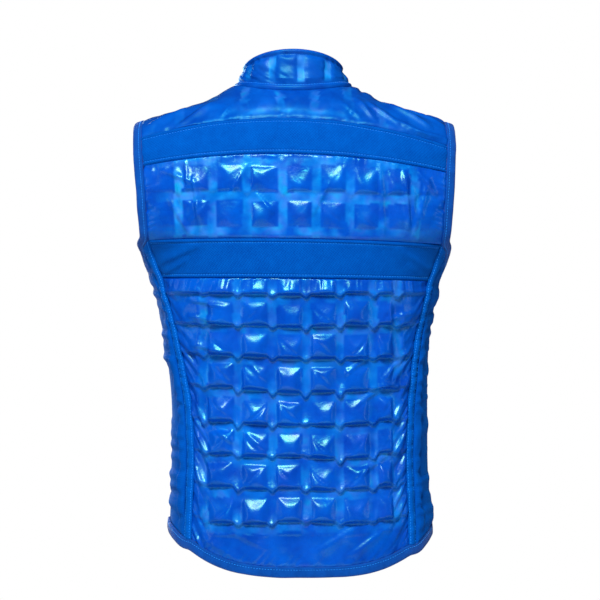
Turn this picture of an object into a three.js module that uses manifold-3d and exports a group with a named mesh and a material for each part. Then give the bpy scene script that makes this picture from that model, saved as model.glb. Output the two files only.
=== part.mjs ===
// A sleeveless zip-front cooling vest of coated nylon and knit, in the form it keeps when it is worn.
// Millimetres, +Z up. The wearer faces +Y, and the origin is where the vest sits on the shoulders.
import * as THREE from "three";
import { mergeVertices } from "three/addons/utils/BufferGeometryUtils.js";
import Module from "manifold-3d";

const wasm = await Module();
wasm.setup();

// Driving sizes of the garment form. Drops are measured down from the origin.
const BACK_LENGTH = 624;
const HEM_RISE = 51;
const FRONT_HEM_RISE = 6;
const NECK_HALF_WIDTH = 76;
const NECK_BACK_REACH = 62;
const NECK_FRONT_REACH = 78;
const SHOULDER_HALF_WIDTH = 198;
const SHOULDER_DROP = 44;
const CHEST_HALF_WIDTH = 195;
const CHEST_BACK_DEPTH = 115;
const CHEST_FRONT_DEPTH = 115;
const UNDERARM_DROP = 240;
const ARMHOLE_SEAM_DROP = 203;
const LEAN = 6;

// Seams across the back: the drop at the centre, the extra fall at the armholes and the tilt to the
// wearer's right.
const BAND_TOP = { drop: 47.5, fall: 28, tilt: 5.5 };
const BAND_FOOT = { drop: 93, fall: 18.5, tilt: 4.5 };
const LOWER_BAND_TOP = { drop: 199, fall: 4, tilt: 3 };
const LOWER_BAND_FOOT = { drop: 249, fall: 1, tilt: 2 };
const FRONT_BAND_TOP = { drop: 203, fall: 0, tilt: 0 };
const FRONT_BAND_FOOT = { drop: 250, fall: 0, tilt: 0 };

// Cloth, quilting and trims.
const CLOTH_WALL = 1.8;
const QUILT_RISE = 5.5;
const MIDDLE_QUILT_RISE = 4;
const WELD_WIDTH = 12;
const FIRST_WELD_DROP = 272;
const WELD_PITCH = 41.5;
const WELD_ROWS = 8;
const MIDDLE_WELD_DROP = 144;
const MIDDLE_WELD_PITCH = 44;
const FOLD_RISE = 3.4;
const SIDE_RIPPLE = 3;
const STRIP_WIDTH = 12;
const STRIP_SLOPE = 9;
const BINDING_WIDTH = 11;
const BINDING_WALL = 2.8;
const HEM_WIDTH = 12;
const COLLAR_WALL = 3;
const COLLAR_ROLL = 1.6;
const COLLAR_RISE = 2;
const COLLAR_HALF_WIDTH = 61;
const COLLAR_BACK_REACH = 52;
const COLLAR_FRONT_REACH = 66;
const COLLAR_BACK_TOP = 45;
const COLLAR_SIDE_TOP = 27;
const COLLAR_FRONT_TOP = 4;
const COLLAR_BOW = 2.5;
const COLLAR_TILT = 0.15;
const ZIP_HALF_WIDTH = 8;
const ZIP_TAPE_WALL = 1.2;
const ZIP_CHAIN_HALF_WIDTH = 3;
const ZIP_CHAIN_HEIGHT = 2.8;
const ZIP_FOOT_RISE = 1;
const SLIDER_LENGTH = 13;
const SLIDER_WIDTH = 9;
const SLIDER_HEIGHT = 5;
const PULL_LENGTH = 28;
const PULL_WIDTH = 5;
const PULL_WALL = 1.8;
const GAP = 0.5;

// Where the waist is, down the back, and how far down a pillow is highest.
const WAIST_SHARE = 0.72;
const PILLOW_CROWN = 0.56;

// Sections of the shoulders: drop as a share of SHOULDER_DROP, width from the neck side to the shoulder
// point, depths as shares of the chest depths, and the roundness power of the section.
const SHOULDER_SECTIONS = [
  { drop: 0.0, width: 0.0, back: 0.45, front: 0.43, power: 2.0, lean: -0.5 },
  { drop: 0.22, width: 0.175, back: 0.54, front: 0.49, power: 2.0, lean: -0.5 },
  { drop: 0.45, width: 0.39, back: 0.64, front: 0.54, power: 2.05, lean: -0.4 },
  { drop: 0.68, width: 0.7, back: 0.73, front: 0.59, power: 2.1, lean: -0.35 },
  { drop: 1.0, width: 1.0, back: 0.81, front: 0.64, power: 2.2, lean: -0.3 },
];

// Sections of the body: drop as a share of BACK_LENGTH, width as a share of CHEST_HALF_WIDTH, depths as
// shares of the chest depths. The armhole rows are wider than the cloth, which ends at the armholes.
const BODY_SECTIONS = [
  { drop: 0.096, width: 1.16, back: 0.89, front: 0.7, power: 2.3, lean: -0.25 },
  { drop: 0.16, width: 1.3, back: 0.96, front: 0.82, power: 2.4, lean: -0.1 },
  { drop: 0.22, width: 1.31, back: 0.99, front: 0.92, power: 2.4, lean: 0.0 },
  { drop: 0.3, width: 1.22, back: 1.0, front: 0.99, power: 2.4, lean: 0.0 },
  { drop: 0.345, width: 1.1, back: 0.99, front: 1.0, power: 2.4, lean: 0.0 },
  { drop: 0.385, width: 1.0, back: 0.98, front: 0.99, power: 2.4, lean: 0.05 },
  { drop: 0.435, width: 0.94, back: 0.95, front: 0.97, power: 2.4, lean: 0.15 },
  { drop: 0.51, width: 0.885, back: 0.9, front: 0.93, power: 2.4, lean: 0.3 },
  { drop: 0.58, width: 0.862, back: 0.855, front: 0.89, power: 2.4, lean: 0.6 },
  { drop: 0.66, width: 0.85, back: 0.83, front: 0.87, power: 2.4, lean: 0.9 },
  { drop: 0.75, width: 0.848, back: 0.84, front: 0.87, power: 2.4, lean: 1.0 },
  { drop: 0.86, width: 0.86, back: 0.88, front: 0.9, power: 2.4, lean: 1.0 },
  { drop: 1.0, width: 0.885, back: 0.92, front: 0.93, power: 2.4, lean: 1.0 },
];

// The armhole seam: drop as a share of ARMHOLE_SEAM_DROP, half widths as shares of SHOULDER_HALF_WIDTH.
const ARMHOLE_SEAM = [
  { drop: 0.0, back: 1.0, front: 1.0 },
  { drop: 0.2, back: 1.0, front: 1.0 },
  { drop: 0.3, back: 1.01, front: 0.97 },
  { drop: 0.5, back: 1.005, front: 0.905 },
  { drop: 0.74, back: 0.99, front: 0.89 },
  { drop: 0.93, back: 0.975, front: 0.915 },
  { drop: 1.0, back: 0.962, front: 0.93 },
];

// The princess seam under the armhole: drop as a share of BACK_LENGTH, half width as a share of the
// section's.
const PRINCESS_SEAM = [
  { drop: 0.32, width: 0.905 },
  { drop: 0.4, width: 0.904 },
  { drop: 0.45, width: 0.893 },
  { drop: 0.52, width: 0.873 },
  { drop: 0.6, width: 0.845 },
  { drop: 0.68, width: 0.818 },
  { drop: 0.77, width: 0.806 },
  { drop: 0.88, width: 0.812 },
  { drop: 1.0, width: 0.8 },
];

// Weld columns of the quilting, from the wearer's left to right, as shares of the panel's half width at
// the waist.
const MIDDLE_WELDS = [-0.77, -0.453, -0.121, 0.198, 0.519, 0.826, 1.117];
const MAIN_WELDS = [-0.865, -0.548, -0.228, 0.085, 0.404, 0.715, 0.93];
const FRONT_WELDS = [0.37, 0.69];

// Soft folds raised on the yoke and the bands: the middle of each as shares of SHOULDER_HALF_WIDTH and of
// BACK_LENGTH, its half length and half width as shares of SHOULDER_HALF_WIDTH, its turn in degrees and its
// rise as a share of FOLD_RISE.
const BACK_FOLDS = [
  { across: 0.55, drop: 0.062, length: 0.3, width: 0.06, turn: -24, rise: 0.94 },
  { across: 0.8, drop: 0.088, length: 0.2, width: 0.055, turn: -38, rise: 1.0 },
  { across: 0.34, drop: 0.05, length: 0.22, width: 0.05, turn: -12, rise: 0.59 },
  { across: -0.6, drop: 0.07, length: 0.3, width: 0.07, turn: 22, rise: 0.65 },
  { across: -0.85, drop: 0.09, length: 0.16, width: 0.06, turn: 40, rise: 0.59 },
  { across: 0.0, drop: 0.058, length: 0.55, width: 0.035, turn: 0, rise: 0.47 },
  { across: -0.72, drop: 0.358, length: 0.22, width: 0.05, turn: 32, rise: 0.71 },
  { across: 0.72, drop: 0.365, length: 0.22, width: 0.05, turn: -32, rise: 0.71 },
  { across: 0.86, drop: 0.23, length: 0.25, width: 0.06, turn: -60, rise: 0.71 },
  { across: -0.86, drop: 0.23, length: 0.25, width: 0.06, turn: 60, rise: 0.65 },
];

const mix = (a, b, t) => a + (b - a) * t;
const ease = (t) => 1 - (1 - t) ** 2;
const degrees = (d) => (d * Math.PI) / 180;

// A smooth curve through the rows of a table, with no overshoot between them and straight beyond its ends.
function curveThrough(xs, ys) {
  const last = xs.length - 1;
  const slopes = [];
  for (let i = 0; i < last; i++) slopes.push((ys[i + 1] - ys[i]) / (xs[i + 1] - xs[i]));
  const tangents = xs.map((_, i) => {
    if (i === 0) return slopes[0];
    if (i === last) return slopes[last - 1];
    const product = slopes[i - 1] * slopes[i];
    return product <= 0 ? 0 : (2 * product) / (slopes[i - 1] + slopes[i]);
  });
  return (x) => {
    if (x <= xs[0]) return ys[0] + tangents[0] * (x - xs[0]);
    if (x >= xs[last]) return ys[last] + tangents[last] * (x - xs[last]);
    let i = 0;
    while (x > xs[i + 1]) i++;
    const h = xs[i + 1] - xs[i];
    const t = (x - xs[i]) / h;
    const a = (1 + 2 * t) * (1 - t) ** 2;
    const b = t * (1 - t) ** 2;
    const c = t * t * (3 - 2 * t);
    const d = t * t * (t - 1);
    return a * ys[i] + b * h * tangents[i] + c * ys[i + 1] + d * h * tangents[i + 1];
  };
}

const sectionRows = [
  ...SHOULDER_SECTIONS.map((row) => ({
    ...row,
    drop: row.drop * SHOULDER_DROP,
    width: mix(NECK_HALF_WIDTH, SHOULDER_HALF_WIDTH, row.width),
  })),
  ...BODY_SECTIONS.map((row) => ({
    ...row,
    drop: row.drop * BACK_LENGTH,
    width: row.width * CHEST_HALF_WIDTH,
  })),
];
const columnOf = (rows, key, scale = 1) =>
  curveThrough(
    rows.map((row) => row.drop),
    rows.map((row) => row[key] * scale),
  );
const halfWidth = columnOf(sectionRows, "width");
const backDepth = columnOf(sectionRows, "back", CHEST_BACK_DEPTH);
const frontDepth = columnOf(sectionRows, "front", CHEST_FRONT_DEPTH);
const roundness = columnOf(sectionRows, "power");
const lean = columnOf(sectionRows, "lean", LEAN);
const BACK = -1;
const FRONT = 1;
const depthOf = (drop, face) => (face === BACK ? backDepth(drop) : frontDepth(drop));

// The garment form: y on the section at this drop, for an x measured from its centre line.
function depthAt(x, drop, face) {
  const power = roundness(drop);
  const left = 1 - Math.min(1, Math.abs(x) / halfWidth(drop)) ** power;
  return face * depthOf(drop, face) * Math.max(0, left) ** (1 / power);
}

// How far a place lies outside the form: 1 on it, more outside. x is measured from the centre line.
function formLevel(x, y, drop) {
  const power = roundness(drop);
  const depth = depthOf(drop, y > 0 ? FRONT : BACK);
  return (Math.abs(x) / halfWidth(drop)) ** power + (Math.abs(y) / depth) ** power;
}

// A place on the form, with the outward direction there.
function placeOn(x, drop, face, rise = 0) {
  const y = depthAt(x, drop, face);
  const step = 0.4;
  const slopeX = formLevel(x + step, y, drop) - formLevel(x - step, y, drop);
  const slopeY = formLevel(x, y + step, drop) - formLevel(x, y - step, drop);
  const slopeDrop = formLevel(x, y, drop + step) - formLevel(x, y, drop - step);
  const centre = (lean(drop + step) - lean(drop - step)) / (2 * step);
  const normal = new THREE.Vector3(slopeX, slopeY, centre * slopeX - slopeDrop).normalize();
  return { at: new THREE.Vector3(x + lean(drop), y, -drop), normal, rise };
}

// The drop at which the form passes through a place in plan, found by halving.
function dropInPlan(x, y) {
  let high = 0;
  let low = UNDERARM_DROP / 2;
  for (let i = 0; i < 40; i++) {
    const middle = (high + low) / 2;
    if (formLevel(x, y, middle) > 1) high = middle;
    else low = middle;
  }
  return (high + low) / 2;
}

// The length along a quarter of a section and the place at a share of it, from the centre to the side.
const QUARTER_STEPS = 40;
function quarterOf(drop, face) {
  const power = roundness(drop);
  const points = [];
  for (let i = 0; i <= QUARTER_STEPS; i++) {
    const turn = (i / QUARTER_STEPS) * (Math.PI / 2);
    const x = halfWidth(drop) * Math.sin(turn) ** (2 / power);
    const y = depthOf(drop, face) * Math.cos(turn) ** (2 / power);
    points.push({ x, y, length: 0 });
  }
  for (let i = 1; i <= QUARTER_STEPS; i++) {
    const step = Math.hypot(points[i].x - points[i - 1].x, points[i].y - points[i - 1].y);
    points[i].length = points[i - 1].length + step;
  }
  return points;
}

function lengthAtX(points, x) {
  let i = 0;
  while (i < QUARTER_STEPS - 1 && points[i + 1].x < x) i++;
  const t = (x - points[i].x) / (points[i + 1].x - points[i].x);
  return mix(points[i].length, points[i + 1].length, Math.min(1, t));
}

function xAtLength(points, length) {
  let i = 0;
  while (i < QUARTER_STEPS - 1 && points[i + 1].length < length) i++;
  const t = (length - points[i].length) / (points[i + 1].length - points[i].length);
  return mix(points[i].x, points[i + 1].x, Math.min(1, t));
}

// Lines of the pattern.
const seamDrop = (seam, x) => {
  const share = x / SHOULDER_HALF_WIDTH;
  return seam.drop + seam.fall * share * share + seam.tilt * share;
};
const armholeRows = ARMHOLE_SEAM.map((row) => ({ ...row, drop: row.drop * ARMHOLE_SEAM_DROP }));
const armholeBack = columnOf(armholeRows, "back", SHOULDER_HALF_WIDTH);
const armholeFront = columnOf(armholeRows, "front", SHOULDER_HALF_WIDTH);
const princessRows = PRINCESS_SEAM.map((row) => ({ ...row, drop: row.drop * BACK_LENGTH }));
const princessShare = columnOf(princessRows, "width");
const princessX = (drop) => princessShare(drop) * halfWidth(drop);
const waistHalf = princessX(WAIST_SHARE * BACK_LENGTH);
const hemDrop = (x, face) => {
  const share = Math.abs(x) / halfWidth(BACK_LENGTH);
  const lowest = BACK_LENGTH - (face === FRONT ? FRONT_HEM_RISE : 0);
  return mix(lowest, BACK_LENGTH - HEM_RISE, Math.min(1, share) ** 2.5);
};
const panelFoot = (x, face) => hemDrop(x, face) - HEM_WIDTH;

// The ridge of the shoulder, where the yoke meets the front.
function ridgeDrop(x) {
  return dropInPlan(x, 0);
}

// The rise of the soft folds at a place on the back.
function foldRise(x, drop) {
  let rise = 0;
  for (const fold of BACK_FOLDS) {
    const dx = x - fold.across * SHOULDER_HALF_WIDTH;
    const dz = fold.drop * BACK_LENGTH - drop;
    const along = dx * Math.cos(degrees(fold.turn)) + dz * Math.sin(degrees(fold.turn));
    const across = dz * Math.cos(degrees(fold.turn)) - dx * Math.sin(degrees(fold.turn));
    const length = fold.length * SHOULDER_HALF_WIDTH;
    const width = fold.width * SHOULDER_HALF_WIDTH;
    rise += fold.rise * FOLD_RISE * Math.exp(-((along / length) ** 2) - (across / width) ** 2);
  }
  return rise;
}

// Lattice lines from weld places: both edges of each weld, with a line along the top of each pillow between.
function weldLines(start, welds, end) {
  const lines = [];
  let from = start;
  for (const weld of welds) {
    lines.push({ at: from, top: false });
    lines.push({ at: (from + weld - WELD_WIDTH / 2) / 2, top: true });
    lines.push({ at: weld - WELD_WIDTH / 2, top: false });
    from = weld + WELD_WIDTH / 2;
  }
  lines.push({ at: from, top: false });
  lines.push({ at: (from + end) / 2, top: true });
  lines.push({ at: end, top: false });
  return lines;
}

const weldColumns = (left, shares, right) =>
  weldLines(
    left,
    shares.map((share) => share * waistHalf),
    right,
  );

// Cloth: a closed wall on a grid of places, with its rims a little inside the seams.
function clothWall(grid, wall = CLOTH_WALL) {
  const rows = grid.length;
  const cols = grid[0].length;
  const step = (from, to) => to.at.clone().sub(from.at).setLength(GAP / 2);
  const inner = grid.map((row, j) =>
    row.map((place, i) => {
      const at = place.at.clone();
      if (i === 0) at.add(step(place, row[1]));
      if (i === cols - 1) at.add(step(place, row[cols - 2]));
      if (j === 0) at.add(step(place, grid[1][i]));
      if (j === rows - 1) at.add(step(place, grid[rows - 2][i]));
      return at;
    }),
  );
  const outer = inner.map((row, j) =>
    row.map((at, i) => at.clone().addScaledVector(grid[j][i].normal, wall + grid[j][i].rise)),
  );
  const points = [...outer.flat(), ...inner.flat()];
  const faces = [];
  const quad = (a, b, c, d) => faces.push(a, b, c, a, c, d);
  const under = rows * cols;
  for (let j = 0; j < rows - 1; j++) {
    for (let i = 0; i < cols - 1; i++) {
      const k = j * cols + i;
      const falling = grid[j][i].rise + grid[j + 1][i + 1].rise;
      const rising = grid[j][i + 1].rise + grid[j + 1][i].rise;
      if (falling >= rising) quad(k, k + 1, k + 1 + cols, k + cols);
      else quad(k + 1, k + 1 + cols, k + cols, k);
      quad(under + k, under + k + cols, under + k + 1 + cols, under + k + 1);
    }
  }
  for (let i = 0; i < cols - 1; i++) {
    const k = (rows - 1) * cols + i;
    quad(i + 1, i, under + i, under + i + 1);
    quad(k, k + 1, under + k + 1, under + k);
  }
  for (let j = 0; j < rows - 1; j++) {
    const k = j * cols;
    const e = k + cols - 1;
    quad(k, k + cols, under + k + cols, under + k);
    quad(e + cols, e, under + e, under + e + cols);
  }
  return solidFrom(points, faces);
}

// A closed body swept through a row of outlines, either in a ring or with both ends filled.
function sweep(outlines, closed) {
  const sides = outlines[0].length;
  const points = outlines.flat();
  const faces = [];
  const count = closed ? outlines.length : outlines.length - 1;
  for (let j = 0; j < count; j++) {
    const a = j * sides;
    const b = ((j + 1) % outlines.length) * sides;
    for (let i = 0; i < sides; i++) {
      const next = (i + 1) % sides;
      faces.push(a + i, a + next, b + next, a + i, b + next, b + i);
    }
  }
  if (!closed) {
    const flat = outlines[0].map((p) => new THREE.Vector2(p.u, p.v));
    const end = (outlines.length - 1) * sides;
    for (const [a, b, c] of THREE.ShapeUtils.triangulateShape(flat, [])) {
      faces.push(a, c, b, end + a, end + b, end + c);
    }
  }
  return solidFrom(points, faces);
}

// A geometry from points and faces, turned so that its faces point out.
function solidFrom(points, faces) {
  let volume = 0;
  for (let i = 0; i < faces.length; i += 3) {
    const [a, b, c] = [points[faces[i]], points[faces[i + 1]], points[faces[i + 2]]];
    volume += a.dot(b.clone().cross(c));
  }
  if (volume < 0) faces.reverse();
  const geometry = new THREE.BufferGeometry();
  const places = points.flatMap((p) => [p.x, p.y, p.z]);
  geometry.setAttribute("position", new THREE.Float32BufferAttribute(places, 3));
  geometry.setIndex(faces);
  return geometry;
}

// A folded binding along a row of places: it goes on from the cloth's edge by its own width.
function bindingAlong(places, width, closed, side) {
  const count = places.length;
  const outlines = places.map((place, k) => {
    const before = places[closed ? (k + count - 1) % count : Math.max(0, k - 1)];
    const after = places[closed ? (k + 1) % count : Math.min(count - 1, k + 1)];
    const along = after.at.clone().sub(before.at);
    const out = along.cross(place.normal).setLength(side);
    const corner = (u, v) => {
      const point = place.at.clone().addScaledVector(out, u).addScaledVector(place.normal, v);
      return Object.assign(point, { u, v });
    };
    return [
      corner(GAP / 2, 0),
      corner(width, 0),
      corner(width + BINDING_WALL / 4, BINDING_WALL * 0.8),
      corner(width / 2, BINDING_WALL * 1.15),
      corner(GAP / 2, BINDING_WALL),
    ];
  });
  return sweep(outlines, closed);
}

// Rows of the panels, as functions of x.
const rowLine = (drop) => ({ drop, top: false });
const midway = (a, b, share = 0.5) => ({ drop: (x) => mix(a(x), b(x), share), top: true });

// Row lines through welds at set drops, between two seams.
function weldRows(head, firstDrop, pitch, count, foot) {
  const rows = [rowLine(head)];
  let above = head;
  for (let k = 0; k < count; k++) {
    const upper = () => firstDrop + k * pitch - WELD_WIDTH / 2;
    const lower = () => firstDrop + k * pitch + WELD_WIDTH / 2;
    rows.push(midway(above, upper, k === 0 ? 0.5 : PILLOW_CROWN), rowLine(upper), rowLine(lower));
    above = lower;
  }
  rows.push(midway(above, foot), rowLine(foot));
  return rows;
}

const columnsMiddle = weldColumns(0, MIDDLE_WELDS, 0);
const columnsMain = weldColumns(0, MAIN_WELDS, 0);
const COLUMNS = columnsMain.length;
const LEFT_NECK = 5;
const RIGHT_NECK = 15;

// Column places on the back at a drop, set from the welds and from the panel's own edges.
function backColumn(columns, i, edge) {
  const last = COLUMNS - 1;
  if (i === 0) return -edge;
  if (i === last) return edge;
  if (i === 1) return (columns[2].at - edge) / 2;
  if (i === last - 1) return (columns[last - 2].at + edge) / 2;
  return columns[i].at;
}

// The upper edge of the yoke: along the shoulder, round the back of the neck, along the other shoulder.
function yokeTop(i) {
  if (i <= LEFT_NECK) {
    const x = -mix(SHOULDER_HALF_WIDTH, NECK_HALF_WIDTH, i / LEFT_NECK);
    return { x, drop: i === LEFT_NECK ? 0 : ridgeDrop(x) };
  }
  if (i >= RIGHT_NECK) {
    const share = (i - RIGHT_NECK) / (COLUMNS - 1 - RIGHT_NECK);
    const x = mix(NECK_HALF_WIDTH, SHOULDER_HALF_WIDTH, share);
    return { x, drop: i === RIGHT_NECK ? 0 : ridgeDrop(x) };
  }
  const turn = mix(-Math.PI / 2, Math.PI / 2, (i - LEFT_NECK) / (RIGHT_NECK - LEFT_NECK));
  const x = NECK_HALF_WIDTH * Math.sin(turn);
  return { x, drop: dropInPlan(x, -NECK_BACK_REACH * Math.cos(turn)) };
}

const rowPower = (x) => 1 + Math.min(1, Math.abs(x) / NECK_HALF_WIDTH) ** 2;

function yokeGrid() {
  const rows = 5;
  const grid = [];
  for (let j = 0; j <= rows; j++) {
    const v = j / rows;
    grid.push(
      columnsMiddle.map((_, i) => {
        const top = yokeTop(i);
        const edge = armholeBack(BAND_TOP.drop + BAND_TOP.fall);
        const footX = backColumn(columnsMiddle, i, edge);
        const x = mix(top.x, footX, ease(v));
        const drop = mix(top.drop, seamDrop(BAND_TOP, footX), v ** rowPower(top.x));
        const onRidge = j === 0 && (i <= LEFT_NECK || i >= RIGHT_NECK);
        const inside = j > 0 && j < rows;
        const place = placeOn(x, drop, BACK, inside ? foldRise(x, drop) : 0);
        if (onRidge) place.at.y = 0;
        return place;
      }),
    );
  }
  return grid;
}

// A back panel between two seams, with quilting pillows where its lines cross.
function backGrid(rows, columns, edgeAt, rise, folds) {
  return rows.map((row, j) =>
    columns.map((column, i) => {
      let x = column.at;
      let drop = row.drop(x);
      for (let k = 0; k < 4; k++) {
        x = backColumn(columns, i, edgeAt(drop));
        drop = row.drop(x);
      }
      const inside = j > 0 && j < rows.length - 1 && i > 0 && i < COLUMNS - 1;
      const pillow = row.top && column.top ? rise : 0;
      return placeOn(x, drop, BACK, pillow + (inside && folds ? foldRise(x, drop) : 0));
    }),
  );
}

const across = (seam) => (x) => seamDrop(seam, x);
const mainRows = weldRows(
  across(LOWER_BAND_FOOT),
  FIRST_WELD_DROP,
  WELD_PITCH,
  WELD_ROWS,
  (x) => panelFoot(x, BACK),
);
const frontMainRows = weldRows(
  across(FRONT_BAND_FOOT),
  FIRST_WELD_DROP,
  WELD_PITCH,
  WELD_ROWS,
  (x) => panelFoot(x, FRONT),
);
const middleRows = weldRows(
  across(BAND_FOOT),
  MIDDLE_WELD_DROP,
  MIDDLE_WELD_PITCH,
  1,
  across(LOWER_BAND_TOP),
);
const BAND_STEPS = 3;

const yoke = yokeGrid();
const middle = backGrid(middleRows, columnsMiddle, armholeBack, MIDDLE_QUILT_RISE, true);
const main = backGrid(mainRows, columnsMain, princessX, QUILT_RISE, false);

// A band sewn between two panels: it turns from the lattice columns above it to those below it.
function bandBetween(head, foot, face, folds) {
  const last = head.length - 1;
  const grid = [head.map((place) => ({ ...place, rise: 0 }))];
  for (let j = 1; j < BAND_STEPS; j++) {
    const share = j / BAND_STEPS;
    grid.push(
      head.map((place, i) => {
        const drop = -mix(place.at.z, foot[i].at.z, share);
        const x = mix(place.at.x, foot[i].at.x, share) - lean(drop);
        const inside = i > 0 && i < last;
        return placeOn(x, drop, face, inside && folds ? foldRise(x, drop) : 0);
      }),
    );
  }
  grid.push(foot.map((place) => ({ ...place, rise: 0 })));
  return grid;
}
const upperBand = bandBetween(yoke[yoke.length - 1], middle[0], BACK, true);
const lowerBand = bandBetween(middle[middle.length - 1], main[0], BACK, true);

// Mirror signs: the wearer's right is +X.
const SIDES = [
  { name: "right", sign: 1 },
  { name: "left", sign: -1 },
];

// The front of one side, from the zip to its outer edge.
const frontColumns = weldColumns(ZIP_HALF_WIDTH, FRONT_WELDS, 0);
const FRONT_COLUMNS = frontColumns.length;
const FRONT_NECK = 4;

function frontColumn(i, edge) {
  const last = FRONT_COLUMNS - 1;
  if (i === last) return edge;
  if (i === last - 1) return (frontColumns[last - 2].at + edge) / 2;
  return frontColumns[i].at;
}

function frontTop(i) {
  if (i < FRONT_NECK) {
    const first = Math.asin(ZIP_HALF_WIDTH / NECK_HALF_WIDTH);
    const turn = mix(first, Math.PI / 2, i / FRONT_NECK);
    const x = NECK_HALF_WIDTH * Math.sin(turn);
    return { x, drop: dropInPlan(x, NECK_FRONT_REACH * Math.cos(turn)) };
  }
  const share = (i - FRONT_NECK) / (FRONT_COLUMNS - 1 - FRONT_NECK);
  const x = mix(NECK_HALF_WIDTH, SHOULDER_HALF_WIDTH, share);
  return { x, drop: i === FRONT_NECK ? 0 : ridgeDrop(x) };
}

const FRONT_UPPER_ROWS = 9;
function frontUpperGrid(sign) {
  const grid = [];
  for (let j = 0; j <= FRONT_UPPER_ROWS; j++) {
    const v = j / FRONT_UPPER_ROWS;
    grid.push(
      frontColumns.map((column, i) => {
        const top = frontTop(i);
        const drop = mix(top.drop, FRONT_BAND_TOP.drop, v ** rowPower(top.x));
        const line = frontColumn(i, armholeFront(drop));
        const x = mix(top.x, line, 1 - (1 - v) ** 3);
        const pillow = column.top && j % 3 === 1 && j > 3 ? MIDDLE_QUILT_RISE : 0;
        const place = placeOn(sign * x, drop, FRONT, pillow);
        if (j === 0 && i >= FRONT_NECK) place.at.y = 0;
        return place;
      }),
    );
  }
  return grid;
}

function frontGrid(rows, sign, rise) {
  return rows.map((row) =>
    frontColumns.map((column, i) => {
      let x = column.at;
      let drop = row.drop(x);
      for (let k = 0; k < 4; k++) {
        x = frontColumn(i, princessX(drop));
        drop = row.drop(x);
      }
      return placeOn(sign * x, drop, FRONT, row.top && column.top ? rise : 0);
    }),
  );
}

// The seam strip beside a stack of panels, from the armhole to the hem.
function stripGrid(edgePlaces, sign, face) {
  return edgePlaces.map((place, j) => {
    const drop = -place.at.z;
    const slope = STRIP_SLOPE * Math.max(0, 1 - j / (BAND_STEPS + 1));
    const farDrop = drop + slope;
    const quarter = quarterOf(farDrop, face);
    const near = Math.abs(place.at.x - lean(drop));
    const far = xAtLength(quarter, lengthAtX(quarter, near) + STRIP_WIDTH);
    return [{ ...place, rise: 0 }, placeOn(sign * far, farDrop, face)];
  });
}

// How far round its quarter of the section a place lies: 0 at the centre, 1 at the side.
function quarterShare(place, face) {
  const drop = -place.at.z;
  const quarter = quarterOf(drop, face);
  return lengthAtX(quarter, Math.abs(place.at.x - lean(drop))) / quarter[QUARTER_STEPS].length;
}

// A place round one side of a section: 0 at the centre back, 1 at the side, 2 at the centre front.
function placeRound(turn, drop, sign, rise) {
  const face = turn <= 1 ? BACK : FRONT;
  const share = turn <= 1 ? turn : 2 - turn;
  const quarter = quarterOf(drop, face);
  const x = xAtLength(quarter, share * quarter[QUARTER_STEPS].length);
  return placeOn(sign * x, drop, face, rise);
}

// The side panel between two strips: its head is the foot of the armhole.
const SIDE_COLUMNS = 5;
const SIDE_SETTLE_ROWS = 9;
function sideGrid(backStrip, frontStrip, sign) {
  const lastRow = backStrip.length - 1;
  const head = backStrip[0][1];
  const frontHead = frontStrip[0][1];
  return backStrip.map((backRow, j) => {
    const from = backRow[1];
    const to = frontStrip[j][1];
    const fromTurn = quarterShare(from, BACK);
    const toTurn = 2 - quarterShare(to, FRONT);
    const row = [{ ...from, rise: 0 }];
    for (let i = 1; i < SIDE_COLUMNS; i++) {
      const share = i / SIDE_COLUMNS;
      const headDrop = -mix(head.at.z, frontHead.at.z, share);
      const dip = (UNDERARM_DROP - headDrop) * (1 - Math.abs(2 * share - 1) ** 2.2);
      const settle = Math.max(0, 1 - j / SIDE_SETTLE_ROWS);
      const drop = -mix(from.at.z, to.at.z, share) + dip * settle;
      const ripple = j > BAND_STEPS && j < lastRow && j % 3 === 1 ? SIDE_RIPPLE : 0;
      row.push(placeRound(mix(fromTurn, toTurn, share), drop, sign, ripple));
    }
    row.push({ ...to, rise: 0 });
    return row;
  });
}

// Materials: coated nylon, knit and trims in the vest's blues.
const glossyNylon = { color: 0x0f6ad8, roughness: 0.32, metalness: 0 };
const meshKnit = { color: 0x0a58c4, roughness: 0.85, metalness: 0 };
const trimTape = { color: 0x1a58b0, roughness: 0.7, metalness: 0 };
const zipNylon = { color: 0x164a9a, roughness: 0.5, metalness: 0 };

const vest = new THREE.Group();
function addPiece(name, geometry, finish) {
  const mesh = new THREE.Mesh(geometry, new THREE.MeshStandardMaterial(finish));
  mesh.name = name;
  vest.add(mesh);
}

addPiece("back_yoke", clothWall(yoke), glossyNylon);
addPiece("back_upper_band", clothWall(upperBand), meshKnit);
addPiece("back_middle_panel", clothWall(middle), glossyNylon);
addPiece("back_lower_band", clothWall(lowerBand), meshKnit);
addPiece("back_main_panel", clothWall(main), glossyNylon);

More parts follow.
